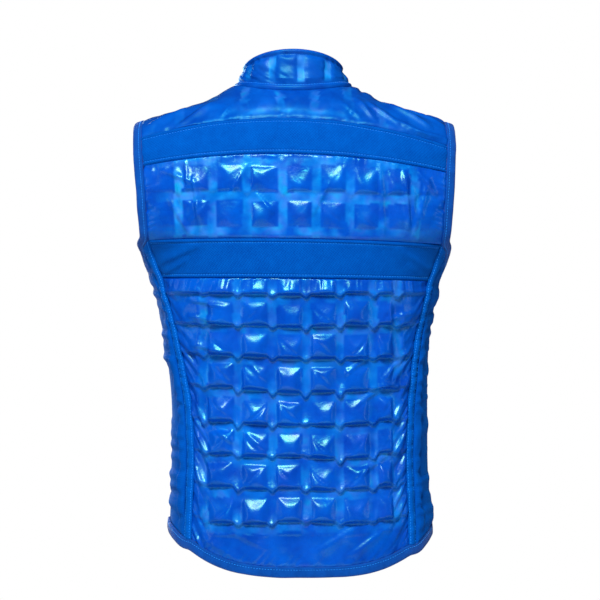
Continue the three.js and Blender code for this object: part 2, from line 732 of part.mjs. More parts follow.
const edgeOf = (grid, sign) => grid.map((row) => row[sign > 0 ? row.length - 1 : 0]);
const hemPlaces = { right: [], left: [] };
const neckPlaces = { right: [], left: [] };
for (const { name, sign } of SIDES) {
  const backEdge = [...edgeOf(lowerBand, sign).slice(0, -1), ...edgeOf(main, sign)];
  const backStrip = stripGrid(backEdge, sign, BACK);
  const frontUpper = frontUpperGrid(sign);
  const frontMain = frontGrid(frontMainRows, sign, QUILT_RISE);
  const frontBand = bandBetween(frontUpper[FRONT_UPPER_ROWS], frontMain[0], FRONT, false);
  const frontEdge = [...edgeOf(frontBand, 1).slice(0, -1), ...edgeOf(frontMain, 1)];
  const frontStrip = stripGrid(frontEdge, sign, FRONT);
  const sidePanel = sideGrid(backStrip, frontStrip, sign);

  addPiece("back_seam_strip_" + name, clothWall(backStrip), meshKnit);
  addPiece("side_panel_" + name, clothWall(sidePanel), meshKnit);
  addPiece("front_seam_strip_" + name, clothWall(frontStrip), meshKnit);
  addPiece("front_upper_panel_" + name, clothWall(frontUpper), glossyNylon);
  addPiece("front_band_" + name, clothWall(frontBand), meshKnit);
  addPiece("front_main_panel_" + name, clothWall(frontMain), glossyNylon);

  const armhole = [
    ...edgeOf(yoke, sign).slice(0, -1),
    ...edgeOf(upperBand, sign).slice(0, -1),
    ...edgeOf(middle, sign).slice(0, -1),
    backStrip[0][0],
    ...sidePanel[0],
    ...edgeOf(frontUpper, 1).slice(1).reverse(),
  ];
  addPiece("armhole_binding_" + name, bindingAlong(armhole, BINDING_WIDTH, true, -sign), trimTape);

  hemPlaces[name] = [
    ...frontMain[frontMain.length - 1].slice(0, -1),
    frontStrip[frontStrip.length - 1][0],
    ...[...sidePanel[sidePanel.length - 1]].reverse(),
  ];
  neckPlaces[name] = frontUpper[0].slice(0, FRONT_NECK);
}

// The hem binding runs from the zip on the right round the back to the zip on the left.
const mainFoot = [...main[main.length - 1]].reverse();
const hemLine = [...hemPlaces.right, ...mainFoot, ...[...hemPlaces.left].reverse()];
const hemBinding = bindingAlong(hemLine, HEM_WIDTH, false, -1);
addPiece("hem_binding", hemBinding, trimTape);

// The collar stands on the neck seam, from the zip on the right round the back to the zip on the left.
// Each ring: how far up it is, and whether it is rolled out or puffed between the channels.
const COLLAR_RINGS = [
  { up: 0.0, roll: 0, puff: 0 },
  { up: 0.07, roll: 1, puff: 0 },
  { up: 0.16, roll: 0, puff: 0 },
  { up: 0.6, roll: 0, puff: 1 },
  { up: 0.84, roll: 1, puff: 0 },
  { up: 1.0, roll: 0, puff: 0 },
];

// The top edge of the collar at a turn round the neck: 0 at the back, half a turn at the front.
function collarTop(turn) {
  const backShare = Math.max(0, Math.cos(turn));
  const frontShare = Math.max(0, -Math.cos(turn));
  const reach = Math.cos(turn) > 0 ? COLLAR_BACK_REACH : COLLAR_FRONT_REACH;
  const height =
    COLLAR_SIDE_TOP +
    (COLLAR_BACK_TOP - COLLAR_SIDE_TOP) * backShare ** 1.3 +
    (COLLAR_FRONT_TOP - COLLAR_SIDE_TOP) * frontShare ** 1.3;
  const outward = new THREE.Vector3(Math.sin(turn), -Math.cos(turn), COLLAR_TILT).normalize();
  const x = COLLAR_HALF_WIDTH * Math.sin(turn) + lean(0);
  return { at: new THREE.Vector3(x, -reach * Math.cos(turn), height), normal: outward };
}

function collarGeometry() {
  const seam = [...neckPlaces.right, ...yoke[0].slice(LEFT_NECK, RIGHT_NECK + 1).reverse()];
  seam.push(...[...neckPlaces.left].reverse());
  const first = Math.asin(ZIP_HALF_WIDTH / COLLAR_HALF_WIDTH);
  const turnAt = (place) => {
    const x = (place.at.x - lean(-place.at.z)) / NECK_HALF_WIDTH;
    const reach = place.at.y > 0 ? NECK_FRONT_REACH : NECK_BACK_REACH;
    return Math.atan2(x, -place.at.y / reach);
  };
  const turns = seam.map(turnAt);
  turns[0] = Math.PI - first;
  turns[turns.length - 1] = first - Math.PI;
  const feet = [];
  seam.forEach((place, k) => {
    feet.push({ ...place, turn: turns[k] });
    if (k === seam.length - 1) return;
    const next = seam[k + 1];
    const at = place.at.clone().add(next.at).multiplyScalar(0.5);
    const normal = place.normal.clone().add(next.normal).normalize();
    feet.push({ at, normal, turn: (turns[k] + turns[k + 1]) / 2 });
  });
  const last = feet.length - 1;
  return COLLAR_RINGS.map(({ up, roll, puff }) =>
    feet.map((foot, k) => {
      const top = collarTop(foot.turn);
      const bow = COLLAR_BOW * Math.sin(Math.PI * up);
      const at = foot.at.clone().lerp(top.at, up).addScaledVector(top.normal, bow);
      const centre = mix(lean(-foot.at.z), lean(0), up);
      if (k === 0) at.x = Math.max(at.x, centre + ZIP_HALF_WIDTH);
      if (k === last) at.x = Math.min(at.x, centre - ZIP_HALF_WIDTH);
      const normal = foot.normal.clone().lerp(top.normal, Math.min(1, up * 2.5)).normalize();
      const between = k % 4 === 2 ? COLLAR_RISE : 0;
      return { at, normal, rise: roll * COLLAR_ROLL + puff * between };
    }),
  );
}
addPiece("collar", clothWall(collarGeometry(), COLLAR_WALL), glossyNylon);

// The front zip: tape and chain up the centre front and the collar, closed, with its slider at the top.
function zipPath() {
  const neckDrop = -neckPlaces.right[0].at.z;
  const path = [];
  const steps = 17;
  const foot = hemDrop(0, FRONT) - ZIP_FOOT_RISE;
  for (let k = 0; k <= steps; k++) {
    const drop = mix(foot, neckDrop, k / steps);
    path.push(new THREE.Vector3(lean(drop), depthAt(0, drop, FRONT), -drop));
  }
  const top = collarTop(Math.PI);
  const base = path[path.length - 1];
  for (const up of [0.12, 0.35, 0.65, 0.98]) {
    const bow = COLLAR_BOW * Math.sin(Math.PI * up);
    path.push(base.clone().lerp(top.at, up).addScaledVector(top.normal, bow));
  }
  return path;
}

// The direction out of the zip's face at a step of its path.
function zipOut(path, k) {
  const before = path[Math.max(0, k - 1)];
  const after = path[Math.min(path.length - 1, k + 1)];
  const along = after.clone().sub(before);
  return new THREE.Vector3(0, along.z, -along.y).normalize();
}

function zipGeometry() {
  const path = zipPath();
  const tape = ZIP_HALF_WIDTH - GAP;
  const chain = ZIP_CHAIN_HALF_WIDTH;
  const outline = [
    [-tape, 0],
    [tape, 0],
    [tape, ZIP_TAPE_WALL],
    [chain, ZIP_TAPE_WALL],
    [chain, ZIP_CHAIN_HEIGHT],
    [-chain, ZIP_CHAIN_HEIGHT],
    [-chain, ZIP_TAPE_WALL],
    [-tape, ZIP_TAPE_WALL],
  ];
  const outlines = path.map((at, k) => {
    const out = zipOut(path, k);
    return outline.map(([u, v]) => {
      const point = at.clone().addScaledVector(out, v);
      point.x += u;
      return Object.assign(point, { u, v });
    });
  });
  const seat = path.length - 2;
  const out = zipOut(path, seat);
  const tilt = -Math.atan2(out.z, out.y);
  const boxAt = (width, thick, length, lift, below) => {
    const box = new THREE.BoxGeometry(width, thick, length);
    box.translate(0, lift, below);
    box.rotateX(-tilt);
    return box.translate(path[seat].x, path[seat].y, path[seat].z);
  };
  const sliderLift = ZIP_CHAIN_HEIGHT / 2 + SLIDER_HEIGHT / 2;
  const slider = boxAt(SLIDER_WIDTH, SLIDER_HEIGHT, SLIDER_LENGTH, sliderLift, 0);
  const pullLift = sliderLift + SLIDER_HEIGHT / 2;
  const pullDrop = -(PULL_LENGTH - SLIDER_LENGTH) / 2;
  const pull = boxAt(PULL_WIDTH, PULL_WALL, PULL_LENGTH, pullLift, pullDrop);
  return fuse([sweep(outlines, false), slider, pull]);
}

// One closed body from several that overlap.
function fuse(geometries) {
  const solids = geometries.map((geometry) => {
    const bare = geometry.clone();
    bare.deleteAttribute("normal");
    bare.deleteAttribute("uv");
    const merged = mergeVertices(bare, 1e-4);
    return new wasm.Manifold(
      new wasm.Mesh({
        numProp: 3,
        vertProperties: merged.attributes.position.array,
        triVerts: new Uint32Array(merged.index.array),
      }),
    );
  });
  const mesh = solids.reduce((whole, solid) => whole.add(solid)).getMesh();
  const geometry = new THREE.BufferGeometry();
  geometry.setAttribute("position", new THREE.BufferAttribute(mesh.vertProperties, 3));
  geometry.setIndex(new THREE.BufferAttribute(mesh.triVerts, 1));
  return geometry;
}
addPiece("front_zip", zipGeometry(), zipNylon);

export default vest;
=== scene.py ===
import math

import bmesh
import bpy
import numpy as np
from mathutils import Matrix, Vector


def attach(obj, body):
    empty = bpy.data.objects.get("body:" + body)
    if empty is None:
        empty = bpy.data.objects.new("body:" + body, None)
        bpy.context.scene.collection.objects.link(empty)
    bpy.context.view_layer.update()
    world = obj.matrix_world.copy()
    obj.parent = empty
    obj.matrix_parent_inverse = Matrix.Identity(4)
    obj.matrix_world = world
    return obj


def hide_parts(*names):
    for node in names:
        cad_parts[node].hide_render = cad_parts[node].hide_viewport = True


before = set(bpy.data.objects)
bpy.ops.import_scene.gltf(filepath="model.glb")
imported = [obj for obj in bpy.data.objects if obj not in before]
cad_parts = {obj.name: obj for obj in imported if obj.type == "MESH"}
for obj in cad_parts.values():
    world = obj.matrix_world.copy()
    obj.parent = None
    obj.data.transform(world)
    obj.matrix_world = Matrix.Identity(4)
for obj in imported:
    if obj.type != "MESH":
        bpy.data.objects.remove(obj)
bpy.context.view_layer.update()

# %% [markdown]
# The cooling vest is sewn from about twenty pieces of cloth: glossy coated nylon, welded into small square
# pillows that hold the cooling filling, matte knit for the bands and sides, folded tape round the edges and a
# zip in front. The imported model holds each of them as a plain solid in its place. This lesson makes the cloth
# itself. It could be sculpted by hand, but a garment follows its pattern, so every piece is worked out from
# the same body form, the same seams and the same welds as the solids, only much finer.

MM = 0.001

# %% [markdown]
# All sizes below are in millimetres, measured as a tailor does: across from the centre back and down from the
# shoulders. A drop is a depth below the shoulder level. The tables of the body form give a section at each
# drop. They could be a scan, but a dozen sections and a smooth curve through them are easier to read and give
# cloth without bumps of its own.

# %% The sizes of the vest
BACK_LENGTH = 624.0
HEM_RISE = 60.0
SIDE_HEM_RISE = 22.0
HEM_SHIFT = 5.0
FRONT_HEM_RISE = 6.0
NECK_HALF_WIDTH = 76.0
NECK_BACK_REACH = 62.0
NECK_FRONT_REACH = 78.0
SHOULDER_HALF_WIDTH = 194.0
SHOULDER_DROP = 44.0
CHEST_HALF_WIDTH = 195.0
CHEST_DEPTH = 115.0
UNDERARM_DROP = 240.0
ARMHOLE_SEAM_DROP = 203.0
LEAN = 6.0
STRIP_WIDTH = 12.0
STRIP_SLOPE = 9.0
BINDING_WIDTH = 11.0
HEM_WIDTH = 12.0
ZIP_HALF_WIDTH = 8.0
WELD_WIDTH = 11.0
FIRST_WELD_DROP = 272.0
WELD_PITCH = 41.5
WELD_ROWS = 8
BACK, FRONT = -1, 1

# Each row: drop, half width, back depth, front depth, roundness power, lean of the centre line.
SHOULDER_SECTIONS = [
    (0.0, 0.0, 0.45, 0.43, 2.0, -0.5),
    (0.22, 0.175, 0.54, 0.49, 2.0, -0.5),
    (0.45, 0.39, 0.64, 0.54, 2.05, -0.4),
    (0.68, 0.7, 0.73, 0.59, 2.1, -0.35),
    (1.0, 1.0, 0.81, 0.64, 2.2, -0.3),
]
BODY_SECTIONS = [
    (0.096, 1.16, 0.89, 0.7, 2.3, -0.25),
    (0.16, 1.3, 0.96, 0.82, 2.4, -0.1),
    (0.22, 1.31, 0.99, 0.92, 2.4, 0.0),
    (0.3, 1.22, 1.0, 0.99, 2.4, 0.0),
    (0.345, 1.035, 0.99, 1.0, 2.4, 0.0),
    (0.385, 0.97, 0.98, 0.99, 2.4, 0.05),
    (0.435, 0.933, 0.95, 0.97, 2.4, 0.15),
    (0.51, 0.885, 0.9, 0.93, 2.4, 0.3),
    (0.58, 0.862, 0.855, 0.89, 2.4, 0.6),
    (0.66, 0.85, 0.83, 0.87, 2.4, 0.9),
    (0.75, 0.848, 0.84, 0.87, 2.4, 1.0),
    (0.86, 0.86, 0.88, 0.9, 2.4, 1.0),
    (1.0, 0.885, 0.92, 0.93, 2.4, 1.0),
]
# Each row: drop, back half width, front half width.
ARMHOLE_SEAM = [
    (0.0, 1.0, 1.0),
    (0.2, 1.0, 1.0),
    (0.3, 1.005, 0.97),
    (0.5, 0.995, 0.905),
    (0.74, 0.978, 0.89),
    (0.93, 0.966, 0.915),
    (1.0, 0.958, 0.93),
]
# Each row: drop, half width as a share of the section's.
PRINCESS_SEAM = [
    (0.32, 0.905),
    (0.4, 0.904),
    (0.45, 0.893),
    (0.52, 0.873),
    (0.6, 0.845),
    (0.68, 0.818),
    (0.77, 0.806),
    (0.88, 0.812),
    (1.0, 0.8),
]
MIDDLE_WELDS = [-1.09, -0.77, -0.453, -0.121, 0.198, 0.519, 0.826, 1.118]
MAIN_WELDS = [-0.865, -0.548, -0.228, 0.085, 0.404, 0.715, 0.93]
FRONT_WELDS = [0.37, 0.69]


def mix(a, b, t):
    return a + (b - a) * t


def curve_through(xs, ys):
    """A smooth curve through the rows of a table, with no overshoot, and straight beyond its ends."""
    xs, ys = np.asarray(xs, float), np.asarray(ys, float)
    slopes = np.diff(ys) / np.diff(xs)
    tangents = np.concatenate([slopes[:1], np.zeros(len(xs) - 2), slopes[-1:]])
    product = slopes[:-1] * slopes[1:]
    total = slopes[:-1] + slopes[1:]
    safe = np.where(product > 0, total, 1.0)
    tangents[1:-1] = np.where(product > 0, 2 * product / safe, 0.0)

    def at(x):
        x = np.asarray(x, float)
        i = np.clip(np.searchsorted(xs, x) - 1, 0, len(xs) - 2)
        h = xs[i + 1] - xs[i]
        t = (x - xs[i]) / h
        inside = (1 + 2 * t) * (1 - t) ** 2 * ys[i] + t * (1 - t) ** 2 * h * tangents[i]
        inside = inside + t * t * (3 - 2 * t) * ys[i + 1] + t * t * (t - 1) * h * tangents[i + 1]
        before = ys[0] + tangents[0] * (x - xs[0])
        beyond = ys[-1] + tangents[-1] * (x - xs[-1])
        return np.where(x < xs[0], before, np.where(x > xs[-1], beyond, inside))

    return at


shoulder, body = np.array(SHOULDER_SECTIONS), np.array(BODY_SECTIONS)
section_drops = np.concatenate([shoulder[:, 0] * SHOULDER_DROP, body[:, 0] * BACK_LENGTH])
section_widths = np.concatenate(
    [mix(NECK_HALF_WIDTH, SHOULDER_HALF_WIDTH, shoulder[:, 1]), body[:, 1] * CHEST_HALF_WIDTH]
)


def section_curve(column, scale):
    return curve_through(section_drops, np.concatenate([shoulder[:, column], body[:, column]]) * scale)


half_width = curve_through(section_drops, section_widths)
back_depth = section_curve(2, CHEST_DEPTH)
front_depth = section_curve(3, CHEST_DEPTH)
roundness = section_curve(4, 1.0)
lean = section_curve(5, LEAN)
armhole = np.array(ARMHOLE_SEAM)
armhole_back = curve_through(armhole[:, 0] * ARMHOLE_SEAM_DROP, armhole[:, 1] * SHOULDER_HALF_WIDTH)
armhole_front = curve_through(armhole[:, 0] * ARMHOLE_SEAM_DROP, armhole[:, 2] * SHOULDER_HALF_WIDTH)
princess = np.array(PRINCESS_SEAM)
princess_share = curve_through(princess[:, 0] * BACK_LENGTH, princess[:, 1])
print("half width at the underarm:", round(float(half_width(UNDERARM_DROP)), 1), "mm")

# %% [markdown]
# The form is a stack of rounded sections, so a place on the cloth is known from how far across and how far
# down it lies. The direction out of the form comes from how fast its level changes, and every pillow, fold
# and wall is raised along that direction.


# %% The body form
def princess_x(drop):
    return princess_share(drop) * half_width(drop)


def depth_of(drop, face):
    return np.where(np.asarray(face) == BACK, back_depth(drop), front_depth(drop))


def depth_at(x, drop, face):
    power = roundness(drop)
    left = 1 - np.minimum(1, np.abs(x) / half_width(drop)) ** power
    return face * depth_of(drop, face) * np.maximum(0, left) ** (1 / power)


def form_level(x, y, drop):
    power = roundness(drop)
    depth = depth_of(drop, np.where(y > 0, FRONT, BACK))
    return (np.abs(x) / half_width(drop)) ** power + (np.abs(y) / depth) ** power


def place_on(x, drop, face):
    """Places on the form and the directions out of it."""
    x, drop = np.broadcast_arrays(np.asarray(x, float), np.asarray(drop, float))
    y = depth_at(x, drop, face)
    step = 0.4
    slope_x = form_level(x + step, y, drop) - form_level(x - step, y, drop)
    slope_y = form_level(x, y + step, drop) - form_level(x, y - step, drop)
    slope_drop = form_level(x, y, drop + step) - form_level(x, y, drop - step)
    centre = (lean(drop + step) - lean(drop - step)) / (2 * step)
    normal = np.stack([slope_x, slope_y, centre * slope_x - slope_drop], -1)
    normal /= np.linalg.norm(normal, axis=-1, keepdims=True)
    return np.stack([x + lean(drop), y, -drop], -1), normal


def drop_in_plan(x, y):
    """The drop at which the form passes through a place in plan, found by halving."""
    x, y = np.broadcast_arrays(np.asarray(x, float), np.asarray(y, float))
    high, low = np.zeros(x.shape), np.full(x.shape, UNDERARM_DROP / 2)
    for _ in range(40):
        middle = (high + low) / 2
        outside = form_level(x, y, middle) > 1
        high, low = np.where(outside, middle, high), np.where(outside, low, middle)
    return (high + low) / 2


QUARTER_STEPS = 48


def quarter_of(drop, face):
    """Places along a quarter of each section, from the centre to the side, and the length walked so far."""
    drop = np.atleast_1d(np.asarray(drop, float))[:, None]
    power = roundness(drop)
    turn = np.linspace(0, math.pi / 2, QUARTER_STEPS + 1)[None, :]
    x = half_width(drop) * np.sin(turn) ** (2 / power)
    y = depth_of(drop, np.asarray(face).reshape(-1, 1)) * np.cos(turn) ** (2 / power)
    steps = np.hypot(np.diff(x, axis=1), np.diff(y, axis=1))
    return x, np.concatenate([np.zeros((len(x), 1)), np.cumsum(steps, axis=1)], axis=1)


def length_at_x(quarter, x):
    return np.array([np.interp(xi, row, length) for xi, row, length in zip(x, *quarter)])


def x_at_length(quarter, length):
    return np.array([np.interp(li, total, row) for li, row, total in zip(length, *quarter)])


def quarter_share(x, drop, face):
    quarter = quarter_of(drop, face)
    return length_at_x(quarter, np.abs(x)) / quarter[1][:, -1]


def place_round(turn, drop, sign):
    """Places round one side: 0 at the centre back, 1 at the side, 2 at the centre front."""
    face = np.where(turn <= 1, BACK, FRONT)
    share = np.where(turn <= 1, turn, 2 - turn)
    quarter = quarter_of(drop.ravel(), face.ravel())
    x = x_at_length(quarter, share.ravel() * quarter[1][:, -1]).reshape(turn.shape)
    return place_on(sign * x, drop, face)


WAIST_HALF = float(princess_x(0.72 * BACK_LENGTH))
print("quilted width at the waist:", round(2 * WAIST_HALF, 1), "mm")

# %% [markdown]
# A panel of the pattern is a grid between four seams. The rows run from its head seam to its foot seam and
# the columns from edge to edge. A sculpted shell could be cut along the seams instead, but a grid keeps the
# cloth's own directions, which the weave, the quilting and the gathers all follow, and it gives the
# simulation an even mesh.


# %% Seams and panel grids
def seam(drop, fall=0.0, tilt=0.0):
    return lambda x: drop + fall * (x / SHOULDER_HALF_WIDTH) ** 2 + tilt * x / SHOULDER_HALF_WIDTH


def hem_seam(face, inset=HEM_WIDTH):
    lowest = BACK_LENGTH - (FRONT_HEM_RISE if face == FRONT else 0)

    def at(x):
        share = np.minimum(1, np.abs(x - (HEM_SHIFT if face == BACK else 0)) / half_width(BACK_LENGTH))
        return mix(lowest, BACK_LENGTH - HEM_RISE, share**3.3) - inset

    return at


def panel_grid(rows, cols, left, right, head, foot, face):
    """A panel between two seams and two edges: across and drop of each node, its place and its direction."""
    u = np.linspace(0, 1, cols)[None, :] * np.ones((rows, 1))
    v = np.linspace(0, 1, rows)[:, None] * np.ones((1, cols))
    drop = mix(head(0 * u), foot(0 * u), v)
    for _ in range(6):
        x = mix(left(drop), right(drop), u)
        drop = mix(head(x), foot(x), v)
    base, normal = place_on(x, drop, face)
    return {"x": x, "drop": drop, "base": base, "normal": normal, "v": v}


def borders(grid):
    """How far each node lies from the four edges of its panel, along the cloth."""
    base = grid["base"]
    along_row = np.linalg.norm(np.diff(base, axis=1), axis=2)
    along_col = np.linalg.norm(np.diff(base, axis=0), axis=2)
    left = np.pad(np.cumsum(along_row, axis=1), ((0, 0), (1, 0)))
    head = np.pad(np.cumsum(along_col, axis=0), ((1, 0), (0, 0)))
    grid["left"], grid["right"] = left, left[:, -1:] - left
    grid["head"], grid["foot"] = head, head[-1:, :] - head
    grid["edge"] = np.minimum.reduce([grid["left"], grid["right"], grid["head"], grid["foot"]])
    return grid


# %% [markdown]
# Below the yoke the back is four panels, one under the other: a knit band over the shoulder blades, a quilted
# panel, a second band, and the large quilted panel down to the hem. Two neighbours share one seam, so they
# can't drift apart.

# %% The panels of the back
PRINCESS_TOP_DROP = 250.0
BAND_TOP = seam(47.5, 28.0, 5.5)
BAND_FOOT = seam(93.0, 18.5, 4.5)
LOWER_BAND_TOP = seam(199.0, 4.0, 3.0)
LOWER_BAND_FOOT = seam(249.0, 1.0, 2.0)
FRONT_BAND_TOP = seam(ARMHOLE_SEAM_DROP)
FRONT_BAND_FOOT = seam(PRINCESS_TOP_DROP)


def band_edge(armhole_edge):
    """The edge of a band, from the foot of the armhole seam to the head of the princess seam."""
    start_x, end_x = float(armhole_edge(ARMHOLE_SEAM_DROP)), float(princess_x(PRINCESS_TOP_DROP))
    height = PRINCESS_TOP_DROP - ARMHOLE_SEAM_DROP
    return lambda drop: mix(start_x, end_x, np.clip((drop - ARMHOLE_SEAM_DROP) / height, 0, 1))


lower_edge = band_edge(armhole_back)
front_band_edge = band_edge(armhole_front)


def minus(edge):
    return lambda drop: -edge(drop)


main = panel_grid(129, 121, minus(princess_x), princess_x, LOWER_BAND_FOOT, hem_seam(BACK), BACK)
middle = panel_grid(41, 137, minus(armhole_back), armhole_back, BAND_FOOT, LOWER_BAND_TOP, BACK)
upper_band = panel_grid(65, 201, minus(armhole_back), armhole_back, BAND_TOP, BAND_FOOT, BACK)
lower_band = panel_grid(65, 201, minus(lower_edge), lower_edge, LOWER_BAND_TOP, LOWER_BAND_FOOT, BACK)
print("nodes of the large panel:", main["x"].size)

# %% [markdown]
# The yoke and the two shoulder fronts hang from the neck and the shoulder seam. Their columns fan out from
# there to their foot seam, because a square grid would cut across the neck. The shoulders then sink a little,
# since soft cloth lies lower between the neck and the armhole than a stiff form would.

# %% The yoke and the fronts
NECK_SHARE = 0.37
YOKE_FOOT_DROP = 75.0
# The right and the left shoulder: where across each sinks most, how much, and how wide the hollow is.
SHOULDER_SINKS = [
    (150.0, 15.5, 36.0),
    (-140.0, 8.0, 40.0),
]
SINK_REACH = 60.0


def shoulder_top(share, first_turn, reach, face):
    """The head of the yoke or of a front: round the neck for the first share, then along the shoulder."""
    inside = np.abs(share) < NECK_SHARE
    turn = mix(first_turn, math.pi / 2, np.minimum(1, np.abs(share) / NECK_SHARE))
    x_neck = NECK_HALF_WIDTH * np.sin(turn)
    along = (np.abs(share) - NECK_SHARE) / (1 - NECK_SHARE)
    x = np.where(inside, x_neck, mix(NECK_HALF_WIDTH, SHOULDER_HALF_WIDTH, np.maximum(0, along)))
    y = np.where(inside, face * reach * np.cos(turn), 0.0)
    return np.sign(share) * x, drop_in_plan(x, y)


def shoulder_grid(rows, share, head, foot_x, foot_drop, face, settle):
    """A panel that hangs from the shoulder and the neck: columns run from its head down to its foot seam."""
    cols = len(share)
    v = np.linspace(0, 1, rows)[:, None] * np.ones((1, cols))
    top_x, top_drop = head
    power = 1 + np.minimum(1, np.abs(top_x) / NECK_HALF_WIDTH) ** 2
    drop = mix(top_drop, foot_drop, v**power)
    x = mix(top_x, foot_x(drop), settle(v))
    base, normal = place_on(x, drop, face)
    base[0, :, 1] = np.where(np.abs(share) >= NECK_SHARE, 0.0, base[0, :, 1])
    return {"x": x, "drop": drop, "base": base, "normal": normal, "u": share + 0 * v}


def settled(grid):
    """The shoulders sink a little between neck and armhole, the right one more, as soft cloth does."""
    x = grid["x"]
    right, left = (depth * np.exp(-(((x - place) / width) ** 2)) for place, depth, width in SHOULDER_SINKS)
    sink = np.where(x > 0, right, left)
    step = np.linalg.norm(np.diff(grid["base"], axis=0), axis=2)
    below = np.pad(np.cumsum(step, axis=0), ((1, 0), (0, 0)))
    grid["base"][..., 2] -= sink * np.clip(1 - below / np.minimum(below[-1:], SINK_REACH), 0, 1)
    return grid


yoke_share = np.linspace(-1, 1, 137)
yoke_foot_x = yoke_share * armhole_back(YOKE_FOOT_DROP)
yoke = shoulder_grid(
    33,
    yoke_share,
    shoulder_top(yoke_share, 0.0, NECK_BACK_REACH, BACK),
    lambda drop: yoke_foot_x + 0 * drop,
    BAND_TOP(yoke_foot_x),
    BACK,
    lambda v: 1 - (1 - v) ** 2,
)
yoke = settled(yoke)
print("nodes of the yoke:", yoke["x"].size)


def front_upper_grid(sign):
    share = np.linspace(0, 1, 65)
    first = math.asin(ZIP_HALF_WIDTH / NECK_HALF_WIDTH)
    x, drop = shoulder_top(np.maximum(share, 1e-6), first, NECK_FRONT_REACH, FRONT)
    grid = shoulder_grid(
        73,
        share,
        (x, drop),
        lambda d: mix(ZIP_HALF_WIDTH, armhole_front(d), share[None, :]),
        ARMHOLE_SEAM_DROP,
        FRONT,
        lambda v: 1 - (1 - v) ** 3,
    )
    grid["x"] = sign * grid["x"]
    grid["base"], grid["normal"] = place_on(grid["x"], grid["drop"], FRONT)
    grid["base"][0, :, 1] = np.where(share >= NECK_SHARE, 0.0, grid["base"][0, :, 1])
    return settled(grid)


def zip_edge(sign):
    return lambda drop: sign * ZIP_HALF_WIDTH + 0 * drop


def front_grid(rows, cols, edge, head, foot, sign):
    return panel_grid(rows, cols, zip_edge(sign), lambda d: sign * edge(d), head, foot, FRONT)


# %% [markdown]
# Below each armhole a narrow strip runs down beside the panels, and the knit side fills the rest, from strip
# to strip round the body. The side's head dips to the foot of the armhole and its foot arches with the hem.
# Both take their edges from the panels that they are sewn to.

# %% The strips and the sides
STRIP_FALL_REACH = 60.0
ARMHOLE_DIP_REACH, ARMHOLE_DIP_POWER = 110.0, 2.2
HEM_ARCH_REACH, HEM_ARCH_POWER = 120.0, 1.7


def strip_grid(x, drop, sign, face, cols=9):
    """The narrow strip beside a stack of panels: it starts at their edge and is a strip's width across."""
    fall = STRIP_SLOPE * np.clip(1 - (drop - drop[0]) / STRIP_FALL_REACH, 0, 1)
    far_drop = drop + fall
    quarter = quarter_of(far_drop, face)
    far = x_at_length(quarter, length_at_x(quarter, np.abs(x)) + STRIP_WIDTH)
    t = np.linspace(0, 1, cols)[None, :]
    xs = sign * mix(np.abs(x)[:, None], far[:, None], t)
    drops = mix(drop[:, None], far_drop[:, None], t)
    base, normal = place_on(xs, drops, face)
    return {"x": xs, "drop": drops, "base": base, "normal": normal}


def side_grid(back_strip, front_strip, sign, cols=57):
    """The side panel between two strips. Its head dips to the foot of the armhole."""
    from_x, from_drop = back_strip["x"][:, -1], back_strip["drop"][:, -1]
    to_x, to_drop = front_strip["x"][:, -1], front_strip["drop"][:, -1]
    from_turn = quarter_share(from_x, from_drop, BACK)[:, None]
    to_turn = 2 - quarter_share(to_x, to_drop, FRONT)[:, None]
    share = np.linspace(0, 1, cols)[None, :]
    head = mix(from_drop[0], to_drop[0], share)
    dip = (UNDERARM_DROP - head) * (1 - np.abs(2 * share - 1) ** ARMHOLE_DIP_POWER)
    drop = mix(from_drop[:, None], to_drop[:, None], share)
    drop = drop + dip * np.clip(1 - (from_drop - from_drop[0])[:, None] / ARMHOLE_DIP_REACH, 0, 1)
    arch = SIDE_HEM_RISE * (1 - np.abs(2 * share - 1) ** HEM_ARCH_POWER)
    drop = drop - arch * np.clip(1 - (from_drop[-1] - from_drop)[:, None] / HEM_ARCH_REACH, 0, 1) ** 1.5
    turn = mix(from_turn, to_turn, share)
    base, normal = place_round(turn, drop, sign)
    x = np.abs(base[..., 0] - lean(drop)) * sign
    return {"x": x, "drop": drop, "base": base, "normal": normal}


def stacked(upper, lower, key, column):
    """One edge of a band and of the panel below it, as one line, with one in four of the band's rows."""
    return np.concatenate([upper[key][::4, column][:-1], lower[key][:, column]])


SIDES = {"right": 1, "left": -1}
front, strips, side = {}, {}, {}
for name, sign in SIDES.items():
    front[name] = {
        "upper": front_upper_grid(sign),
        "band": front_grid(65, 97, front_band_edge, FRONT_BAND_TOP, FRONT_BAND_FOOT, sign),
        "main": front_grid(129, 57, princess_x, FRONT_BAND_FOOT, hem_seam(FRONT), sign),
    }
    pick = -1 if sign > 0 else 0
    back_x, back_drop = (stacked(lower_band, main, key, pick) for key in ("x", "drop"))
    band, panel = front[name]["band"], front[name]["main"]
    front_x, front_drop = (stacked(band, panel, key, -1) for key in ("x", "drop"))
    strips[name] = {
        "back": strip_grid(back_x, back_drop, sign, BACK),
        "front": strip_grid(front_x, front_drop, sign, FRONT),
    }
    side[name] = side_grid(strips[name]["back"], strips[name]["front"], sign)

all_grids = [main, middle, upper_band, lower_band, yoke]
for name in SIDES:
    all_grids += [*front[name].values(), *strips[name].values(), side[name]]
for grid in all_grids:
    borders(grid)
print("panel grids:", len(all_grids), "nodes:", sum(g["x"].size for g in all_grids))

# %% [markdown]
# Worn cloth is never even. Small seeded waves stand for the gathers beside the seams, and a short table of
# drag folds stands for the pull of the body on the vest. Seeded numbers give the same folds at every run.


# %% Waves, gathers and folds
def wave(t, seed, pitch):
    """A smooth random wave along a length, from -1 to 1."""
    knots = np.random.default_rng(seed).uniform(-1, 1, 2048)
    s = np.asarray(t) / pitch
    i = np.floor(s).astype(int)
    f = s - i
    return mix(knots[i % 2048], knots[(i + 1) % 2048], f * f * (3 - 2 * f))


